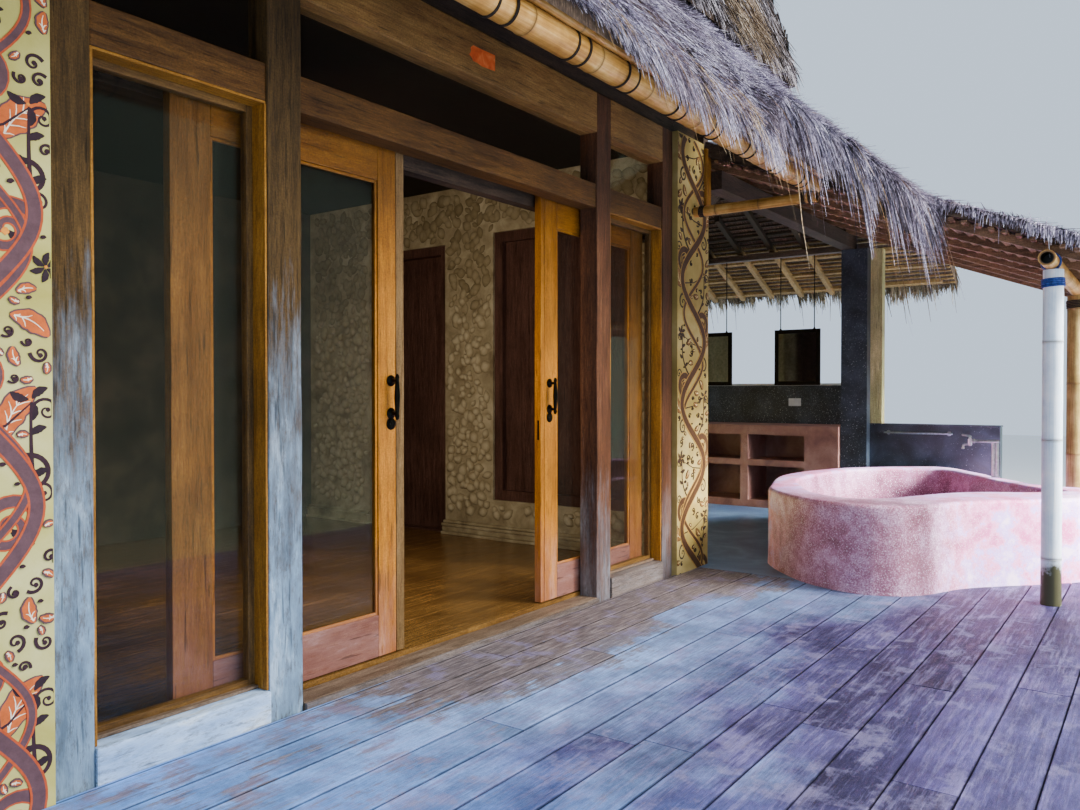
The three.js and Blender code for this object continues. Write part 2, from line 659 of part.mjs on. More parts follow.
// two risers on the rim, an arm towards the basin, a valve and a downturned spout
function taps() {
  const x = 4246;
  const arm = 781;
  const valve = -1310;
  const outlet = -1262;
  add('tub_taps', MAT.steel, join(
    poleZ(x, -1496, TUB_TOP + GAP, arm, 12, 14),
    poleZ(x, -1470, TUB_TOP + GAP, arm, 12, 14),
    poleY(x, -1508, valve, arm, 12, 14),
    poleZ(x, valve, arm - 36, arm + 49, 14, 14),
    poleY(x, valve, outlet, arm - 28, 10, 14),
    poleZ(x, outlet, arm - 60, arm - 18, 10, 14),
  ));
}

function mirrors() {
  for (const [name, y0] of [['mirror_right', 230], ['mirror_left', 1150]]) {
    const y1 = y0 + 460;
    add(name, MAT.mirror, join(
      box(5440, 5460, y0, y1, 1223, 1777),
      poleZ(5450, y0 + 60, 1770, 2500 - GAP, 5, 10),
      poleZ(5450, y1 - 60, 1770, 2500 - GAP, 5, 10),
    ));
  }
}

plinth();
deck();
bathFloor();
roomFloor();
frontSill();
frontFrame();
windows();
frontWalls();
roomWalls();
sideOpenings();
leaves();
doorTrack();
ceiling();
lowerRoof();
cornerSweep();
eavePole();
upperRoof();
upperFrame();
bathRoof();
leanToRafters();
bathRafters();
bathFrame();
bathWalls();
vanity();
tub();
taps();
mirrors();

// from the middle of the doorway at deck level to the middle of the plan at ground level
root.position.set(-1649.85, -1000.075, -GROUND);

export default root;
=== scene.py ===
import math
import random
import bpy
import numpy as np
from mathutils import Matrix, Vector


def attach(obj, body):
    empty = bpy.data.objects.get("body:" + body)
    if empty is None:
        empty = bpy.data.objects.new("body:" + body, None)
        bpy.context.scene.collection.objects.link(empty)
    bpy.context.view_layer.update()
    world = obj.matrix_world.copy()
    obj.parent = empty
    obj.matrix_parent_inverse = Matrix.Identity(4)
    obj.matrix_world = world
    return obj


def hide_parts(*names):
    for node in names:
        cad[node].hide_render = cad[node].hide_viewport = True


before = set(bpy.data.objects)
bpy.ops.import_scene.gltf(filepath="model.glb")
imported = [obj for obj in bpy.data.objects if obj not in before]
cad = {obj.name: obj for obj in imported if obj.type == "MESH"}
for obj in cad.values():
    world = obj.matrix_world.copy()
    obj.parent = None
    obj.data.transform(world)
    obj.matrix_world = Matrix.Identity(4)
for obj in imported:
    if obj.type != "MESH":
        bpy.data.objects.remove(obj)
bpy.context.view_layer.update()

# Sizes are millimetres from the middle of the doorway at deck level: x to the bath bay, y into the house, z up.
siteShift = np.array([-1649.85, -1000.075, 350.0])
house = "house"
seat = 0.3  # the hair of room between two members that bear on each other


def at(x, y, z):
    return Vector(((x + siteShift[0]) / 1000, (y + siteShift[1]) / 1000, (z + siteShift[2]) / 1000))


def metres(points):
    return (np.asarray(points, float) + siteShift) / 1000


# materials

def linear(hexCode):
    channels = [int(hexCode[i:i + 2], 16) / 255 for i in (1, 3, 5)]
    return [c / 12.92 if c <= 0.04045 else ((c + 0.055) / 1.055) ** 2.4 for c in channels] + [1.0]


def put(tree, kind, inputs=None, stops=None, **settings):
    made = tree.nodes.new(kind)
    for key, value in settings.items():
        setattr(made, key, value)
    for key, value in (inputs or {}).items():
        if isinstance(value, bpy.types.NodeSocket):
            tree.links.new(value, made.inputs[key])
        else:
            made.inputs[key].default_value = linear(value) if isinstance(value, str) else value
    if stops:
        ramp = made.color_ramp
        while len(ramp.elements) < len(stops):
            ramp.elements.new(0.5)
        for element, (place, colour) in zip(ramp.elements, stops):
            element.position = place
            element.color = linear(colour) if isinstance(colour, str) else (colour, colour, colour, 1)
    return made


def newMaterial(name, **sockets):
    made = bpy.data.materials.new(name)
    made.use_nodes = True
    tree = made.node_tree
    tree.nodes.clear()
    shader = put(tree, "ShaderNodeBsdfPrincipled", {key.replace("_", " "): value
                                                    for key, value in sockets.items()})
    put(tree, "ShaderNodeOutputMaterial", {"Surface": shader.outputs[0]})
    return made, tree, shader


def wired(made, tree, shader, **sockets):
    for key, value in sockets.items():
        tree.links.new(value, shader.inputs[key.replace("_", " ")])
    return made


def objectSpace(tree):
    return put(tree, "ShaderNodeTexCoord").outputs["Object"]


def layer(tree, name, socket):
    return put(tree, "ShaderNodeAttribute", attribute_name=name).outputs[socket]


def partOf(tree, vector, letter):
    return put(tree, "ShaderNodeSeparateXYZ", {"Vector": vector}).outputs[letter]


def scaled(tree, vector, scale):
    return put(tree, "ShaderNodeMapping", {"Vector": vector, "Scale": scale}).outputs[0]


def noise(tree, vector, scale, detail, rough=0.5, distortion=0.0):
    return put(tree, "ShaderNodeTexNoise", {"Vector": vector, "Scale": scale, "Detail": detail,
                                            "Roughness": rough, "Distortion": distortion}).outputs[0]


def ranged(tree, value, fromLow, fromHigh, toLow=0.0, toHigh=1.0):
    return put(tree, "ShaderNodeMapRange", {"Value": value, "From Min": fromLow, "From Max": fromHigh,
                                            "To Min": toLow, "To Max": toHigh}).outputs[0]


def maths(tree, operation, *values):
    return put(tree, "ShaderNodeMath", dict(enumerate(values)), operation=operation).outputs[0]


def mixed(tree, share, first, second):
    return put(tree, "ShaderNodeMix", {0: share, 2: first, 3: second}, data_type="FLOAT").outputs[0]


def laidOver(tree, mask, under, coat):
    return put(tree, "ShaderNodeMix", {0: mask, 6: under, 7: coat}, data_type="RGBA").outputs[2]


def multiplied(tree, colour, shade):
    return put(tree, "ShaderNodeMix", {0: 1.0, 6: colour, 7: shade}, data_type="RGBA",
               blend_type="MULTIPLY").outputs[2]


def mottled(tree, colour, value, *limits):
    return multiplied(tree, colour, ranged(tree, value, *limits))


def toned(tree, value, stops):
    return put(tree, "ShaderNodeValToRGB", {"Fac": value}, stops=stops).outputs[0]


def bumped(tree, height, strength, distance):
    return put(tree, "ShaderNodeBump", {"Height": height, "Strength": strength,
                                        "Distance": distance}).outputs[0]


def grainSpace(tree, axis):
    if axis == "own":
        place = layer(tree, "grain", "Vector")
    else:
        place = objectSpace(tree)
    scale = {"own": (1, 14, 14), "x": (1, 14, 14), "y": (14, 1, 14), "z": (14, 14, 1)}[axis]
    return scaled(tree, place, scale)


def timberFinish(name, tones, axis="own", gloss=0.6, bump=0.5, wornPaint=None, cracks=0.5, paintedShade=None):
    # sawn timber: long fibres and open cracks catch the light, pores and old paint break its tone
    made, tree, shader = newMaterial(name, Roughness=gloss)
    run = grainSpace(tree, axis)
    site = objectSpace(tree)
    # fibres about 4 mm wide, figure about 45 mm wide, pores and dirt about 2 mm
    fibre = noise(tree, run, 17.0, 8.0, 0.7)
    figure = noise(tree, run, 1.5, 4.0, distortion=1.6)
    half = mixed(tree, 0.4, fibre, figure)
    colour = toned(tree, half, [(0.28, tones[0]), (0.43, tones[1]), (0.57, tones[2]), (0.74, tones[3])])
    patch = noise(tree, site, 2.3, 4.0, 0.6)
    colour = mottled(tree, colour, patch, 0.3, 0.7, 0.66, 1.2)
    grit = noise(tree, site, 130.0, 5.0, 0.75)
    colour = mottled(tree, colour, grit, 0.34, 0.62, 0.62, 1.16)
    if wornPaint:
        # paint wears off in patches about four times as long as they are wide
        spread = scaled(tree, run, (0.28, 0.0714, 0.0714))
        for coat in wornPaint:
            height = partOf(tree, site, "Z")
            level = ranged(tree, height, coat["full"], coat["gone"], coat["cover"], -0.25)
            streak = noise(tree, run, 4.5, 9.0, 0.72)
            blotch = noise(tree, spread, 9.0, 6.0, 0.7)
            wear = mixed(tree, 0.45, streak, blotch)
            total = maths(tree, "ADD", level, wear)
            mask = ranged(tree, total, coat.get("from", 0.78), coat.get("to", 1.3))
            tint = toned(tree, blotch, [(0.35, coat["tones"][0]), (0.55, coat["tones"][1]),
                                        (0.68, coat["tones"][2])])
            chips = noise(tree, spread, 46.0, 8.0, 0.8)
            chip = ranged(tree, chips, 0.36, 0.5, 0.35)
            mask = maths(tree, "MULTIPLY", mask, chip)
            colour = laidOver(tree, mask, colour, tint)
    # painted shade: where asked, the colour darkens along one axis, from the clear mark to the full mark, down
    # to the share that is left
    if paintedShade:
        spot = partOf(tree, site, paintedShade["axis"])
        colour = mottled(tree, colour, spot, paintedShade["clear"], paintedShade["full"], 1.0, paintedShade["left"])
    split = noise(tree, run, 6.0, 2.0, 0.4)
    crack = ranged(tree, split, 0.3, 0.36, 1 - cracks)
    colour = multiplied(tree, colour, crack)
    height = maths(tree, "MULTIPLY", half, crack)
    normal = bumped(tree, height, bump, 0.006)
    return wired(made, tree, shader, Base_Color=colour, Normal=normal)


def mineralFinish(name, tones, scale, gloss, bump, speckle=None, distance=0.004):
    # stone, plaster, cement and cord: one clouded tone, with chips set in it where speckle asks for them
    made, tree, shader = newMaterial(name, Roughness=gloss)
    site = objectSpace(tree)
    cloud = noise(tree, site, scale, 9.0, 0.62, distortion=0.4)
    stops = [(0.32 + 0.36 * i / (len(tones) - 1), tone) for i, tone in enumerate(tones)]
    colour = toned(tree, cloud, stops)
    fine = noise(tree, site, scale * 30, 4.0, 0.7)
    for spot in speckle or []:
        grit = put(tree, "ShaderNodeTexVoronoi", {"Vector": site, "Scale": spot["scale"], "Randomness": 1.0})
        near = ranged(tree, grit.outputs["Distance"], spot["size"], spot["size"] * 0.6)
        pick = put(tree, "ShaderNodeSeparateColor", {"Color": grit.outputs["Color"]}).outputs[0]
        some = maths(tree, "LESS_THAN", pick, spot["share"])
        mask = maths(tree, "MULTIPLY", near, some)
        if "patch" in spot:
            wide = noise(tree, site, spot["patch"], 3.0)
            area = ranged(tree, wide, 0.42, 0.56)
            mask = maths(tree, "MULTIPLY", mask, area)
        colour = laidOver(tree, mask, colour, spot["tone"])
    relief = mixed(tree, 0.5, cloud, fine)
    normal = bumped(tree, relief, bump, distance)
    return wired(made, tree, shader, Base_Color=colour, Normal=normal)


def houseWallFinish(name, tones, roomShadeTones, gloss=0.85):
    # cream lime plaster outside, dark brown on the faces that look into the room: painted shade
    made, tree, shader = newMaterial(name, Roughness=gloss)
    site = objectSpace(tree)
    cloud = noise(tree, site, 3.0, 9.0, 0.62)
    place = put(tree, "ShaderNodeSeparateXYZ", {"Vector": site})
    corner = metres([(-2040, 3740, 0)])[0]
    beyond = maths(tree, "GREATER_THAN", place.outputs["X"], float(corner[0]))
    within = maths(tree, "LESS_THAN", place.outputs["Y"], float(corner[1]))
    inside = maths(tree, "MULTIPLY", beyond, within)
    shades = [toned(tree, cloud, [(0.34, a), (0.5, b), (0.66, c)]) for a, b, c in (tones, roomShadeTones)]
    colour = laidOver(tree, inside, shades[0], shades[1])
    normal = bumped(tree, cloud, 0.3, 0.004)
    return wired(made, tree, shader, Base_Color=colour, Normal=normal)


def strawFinish(name, tones, tint):
    # dry grass stalks: matt, each one its own tone, brown where the rain has not bleached it
    made, tree, shader = newMaterial(name, Roughness=0.85)
    straw = put(tree, "ShaderNodeSeparateXYZ", {"Vector": layer(tree, "straw", "Vector")})
    site = objectSpace(tree)
    colour = toned(tree, straw.outputs["X"], [(0.14, tones[0]), (0.36, tones[1]), (0.62, tones[2]),
                                              (0.86, tones[3])])
    wide = noise(tree, site, 1.7, 5.0, 0.6)
    area = ranged(tree, wide, 0.45, 0.7)
    own = maths(tree, "MULTIPLY", area, straw.outputs["Y"])
    colour = laidOver(tree, own, colour, tint)
    # broken, dusty stalks change tone every 15 mm or so
    broken = noise(tree, site, 62.0, 3.0, 0.7)
    colour = mottled(tree, colour, broken, 0.36, 0.62, 0.36, 1.4)
    return wired(made, tree, shader, Base_Color=colour)


def packedStrawFinish(name, tones, axis):
    # the imported thatch under the loose stalks: matt, dark brown strands that run down the slope, dark also as
    # painted shade between the stalks
    made, tree, shader = newMaterial(name, Roughness=0.9)
    site = objectSpace(tree)
    scale = {"y": (45, 4, 10), "x": (4, 45, 10)}[axis]
    run = scaled(tree, site, scale)
    strand = noise(tree, run, 2.0, 6.0, 0.7)
    colour = toned(tree, strand, [(0.32, tones[0]), (0.5, tones[1]), (0.68, tones[2])])
    normal = bumped(tree, strand, 0.9, 0.012)
    return wired(made, tree, shader, Base_Color=colour, Normal=normal)


def burnishedCement(name):
    # cement trowelled with pink lime: half gloss, clouded lilac and rose; dusky rose at its west end as painted
    # shade, with denser brown grit there
    made, tree, shader = newMaterial(name, Roughness=0.4)
    site = objectSpace(tree)
    side = layer(tree, "side", "Fac")
    place = put(tree, "ShaderNodeSeparateXYZ", {"Vector": site})
    cloud = noise(tree, site, 2.4, 7.0, 0.6, distortion=0.6)
    patch = noise(tree, site, 7.0, 9.0, 0.7)
    both = mixed(tree, 0.5, cloud, patch)
    colour = toned(tree, both, [(0.42, "#e06aa6"), (0.48, "#f79fd0"), (0.52, "#d3abfa"), (0.58, "#fde0ff")])
    # painted shade: the west end, turned away from the lamps, is laid over with dusky rose
    sway = maths(tree, "MULTIPLY_ADD", patch, 0.5, place.outputs["X"])
    west = ranged(tree, sway, 0.84, 1.3, 1.0, 0.0)
    westShadeTones = toned(tree, patch, [(0.36, "#965f6c"), (0.5, "#bd8298"), (0.64, "#dcb0cc")])
    colour = laidOver(tree, west, colour, westShadeTones)
    # painted shade: the faces turned into the basin are laid over with darker rose
    inner = toned(tree, both, [(0.38, "#5e334a"), (0.5, "#8c5370"), (0.62, "#b581a0")])
    colour = laidOver(tree, side, colour, inner)
    grit = noise(tree, site, 120.0, 5.0, 0.7)
    share = ranged(tree, cloud, 0.35, 0.65, -0.07, 0.03)
    lot = maths(tree, "MULTIPLY_ADD", west, 0.09, share)
    total = maths(tree, "ADD", grit, lot)
    dark = ranged(tree, total, 0.58, 0.68, 0.0, 0.6)
    colour = laidOver(tree, dark, colour, "#7c3c5c")
    pale = ranged(tree, grit, 0.44, 0.36, 0.0, 0.85)
    colour = laidOver(tree, pale, colour, "#f4e4f4")
    normal = bumped(tree, both, 0.4, 0.01)
    return wired(made, tree, shader, Base_Color=colour, Normal=normal)


def bambooFinish(name, tones, foot=None, gloss=0.42):
    # culm skin: half gloss, long fine streaks, darker at the joints
    made, tree, shader = newMaterial(name, Roughness=gloss)
    along = layer(tree, "grain", "Vector")
    site = objectSpace(tree)
    run = scaled(tree, along, (1.2, 40, 40))
    streak = noise(tree, run, 3.0, 6.0, 0.6)
    blotch = noise(tree, site, 7.0, 5.0, 0.65)
    both = mixed(tree, 0.55, streak, blotch)
    colour = toned(tree, both, [(0.36, tones[0]), (0.5, tones[1]), (0.63, tones[2])])
    if foot:
        height = partOf(tree, site, "Z")
        level = ranged(tree, height, foot["full"], foot["gone"], 1.1, 0.0)
        rag = maths(tree, "MULTIPLY", level, blotch)
        mask = ranged(tree, rag, 0.28, 0.42)
        colour = laidOver(tree, mask, colour, foot["tone"])
    ring = layer(tree, "joint", "Fac")
    colour = laidOver(tree, ring, colour, foot["joint"] if foot else "#6a4a22")
    # painted shade: past the open end of a hollow culm the inside is laid over with near-black
    paintedShade = ranged(tree, ring, 1.0, 2.0)
    colour = laidOver(tree, paintedShade, colour, "#120b06")
    normal = bumped(tree, streak, 0.2, 0.003)
    return wired(made, tree, shader, Base_Color=colour, Normal=normal)


def deckFinish(name):
    # sawn boards under worn paint: light blue near the doors, plum beyond, bare brown-grey at the step
    made, tree, shader = newMaterial(name, Roughness=0.62)
    run = grainSpace(tree, "own")
    site = objectSpace(tree)
    board = layer(tree, "board", "Vector")
    lot = put(tree, "ShaderNodeSeparateXYZ", {"Vector": board})
    fibre = noise(tree, run, 8.0, 9.0, 0.7)
    bare = toned(tree, fibre, [(0.3, "#33281f"), (0.42, "#58483d"), (0.55, "#7b6960"), (0.68, "#a8978e")])
    wide = noise(tree, site, 1.1, 6.0, 0.62)
    depth = partOf(tree, site, "Y")
    sway = ranged(tree, wide, 0.3, 0.7, -0.32, 0.32)
    place = maths(tree, "ADD", depth, sway)
    nudge = maths(tree, "MULTIPLY_ADD", lot.outputs["X"], 0.2, place)
    inward = ranged(tree, nudge, -3.9, -1.1)
    paint = toned(tree, inward, [(0.0, "#66649c"), (0.3, "#504878"), (0.45, "#382f4e"), (0.55, "#4e4874"),
                                 (0.67, "#7b90c0"), (0.86, "#84a4d2")])
    paint = mottled(tree, paint, fibre, 0.3, 0.72, 0.55, 1.3)
    paint = mottled(tree, paint, lot.outputs["Y"], 0.0, 1.0, 0.68, 1.24)
    rub = noise(tree, run, 2.2, 9.0, 0.74)
    scuff = noise(tree, site, 6.0, 7.0, 0.7)
    wear = mixed(tree, 0.5, rub, scuff)
    # feet have bared the boards between the door posts
    edge = ranged(tree, nudge, -1.78, -1.46, 0.0, 0.2)
    width = partOf(tree, site, "X")
    doorway = ranged(tree, width, -2.7, -2.1, 0.2)
    edge = maths(tree, "MULTIPLY", edge, doorway)
    paint = mottled(tree, paint, width, -1.8, 1.0, 1.06, 0.5)
    total = maths(tree, "ADD", wear, edge)
    mask = ranged(tree, total, 0.545, 0.615)
    far = ranged(tree, nudge, -2.3, -1.45, 0.72, 0.1)
    bare = laidOver(tree, far, bare, paint)
    streaks = noise(tree, run, 3.2, 9.0, 0.8)
    west = ranged(tree, width, -2.3, -3.3, 0.0, 0.6)
    paint = laidOver(tree, west, paint, "#5c92e2")
    # lavender streaks along the grain: partly paint tone and partly painted sheen
    streakAndSheen = ranged(tree, streaks, 0.5, 0.64, 0.0, 0.55)
    paint = laidOver(tree, streakAndSheen, paint, "#8f86b4")
    hollow = noise(tree, site, 3.4, 8.0, 0.7)
    paint = mottled(tree, paint, hollow, 0.42, 0.6, 0.68, 1.18)
    colour = laidOver(tree, mask, paint, bare)
    # lavender patches over the scuffs: dust and painted sheen
    dustAndSheen = ranged(tree, scuff, 0.53, 0.62, 0.0, 0.4)
    colour = laidOver(tree, dustAndSheen, colour, "#8f86b0")
    nail = put(tree, "ShaderNodeTexVoronoi", {"Vector": scaled(tree, site, (1.7, 10.8, 1.0)), "Scale": 1.0,
                                              "Randomness": 0.25}).outputs["Distance"]
    colour = mottled(tree, colour, nail, 0.035, 0.05, 0.25)
    # dirt in the joints and rubbed arrises beside them
    past = maths(tree, "ADD", depth, 1.036375)
    fold = maths(tree, "PINGPONG", past, 0.0925)
    rag = maths(tree, "MULTIPLY_ADD", scuff, 0.012, fold)
    for near, gone, shadeAt in ((0.0095, 0.0135, 0.26), (0.0135, 0.03, 1.28)):
        colour = mottled(tree, colour, rag, near, gone, shadeAt)
    grit = noise(tree, run, 40.0, 6.0, 0.8)
    colour = mottled(tree, colour, grit, 0.34, 0.62, 0.66, 1.16)
    sheen = ranged(tree, wear, 0.35, 0.65, 0.42, 0.78)
    normal = bumped(tree, fibre, 0.45, 0.005)
    return wired(made, tree, shader, Base_Color=colour, Roughness=sheen, Normal=normal)


def paintedPlaster(name):
    # lime plaster with a brushed mural: matt, faint trowel marks, colour from the painted shapes
    made, tree, shader = newMaterial(name, Roughness=0.82)
    site = objectSpace(tree)
    paint = layer(tree, "paint", "Color")
    brush = noise(tree, site, 38.0, 6.0, 0.7)
    colour = mottled(tree, paint, brush, 0.3, 0.7, 0.78, 1.22)
    normal = bumped(tree, brush, 0.25, 0.003)
    return wired(made, tree, shader, Base_Color=colour, Normal=normal)


def carvedFinish(name):
    # plaster lumps pale on top and brown in the hollows between them: painted light on the crests, painted
    # shade in the hollows
    made, tree, shader = newMaterial(name, Roughness=0.88)
    crest = layer(tree, "crest", "Fac")
    site = objectSpace(tree)
    cloud = noise(tree, site, 14.0, 6.0, 0.7)
    level = maths(tree, "MULTIPLY_ADD", cloud, 0.5, crest)
    colour = toned(tree, level, [(0.25, "#4f4229"), (0.5, "#857553"), (0.8, "#a3936f"), (1.1, "#bcad89")])
    normal = bumped(tree, cloud, 0.4, 0.006)
    return wired(made, tree, shader, Base_Color=colour, Normal=normal)


def glassFinish(name):
    # thin window glass: mostly see-through, a smoky cast and a clean reflection over it
    return newMaterial(name, Base_Color=(0.012, 0.016, 0.012, 1), Roughness=0.02, IOR=2.3, Alpha=0.12)[0]


def metalFinish(name, tone, gloss, bump=0.1, scale=40.0):
    # bare or blackened metal: a sharp highlight, dulled in small spots by handling
    made, tree, shader = newMaterial(name, Metallic=1.0, Roughness=gloss)
    site = objectSpace(tree)
    spot = noise(tree, site, scale, 5.0, 0.6)
    colour = mottled(tree, tone, spot, 0.3, 0.7, 0.7, 1.15)
    normal = bumped(tree, spot, bump, 0.002)
    return wired(made, tree, shader, Base_Color=colour, Normal=normal)


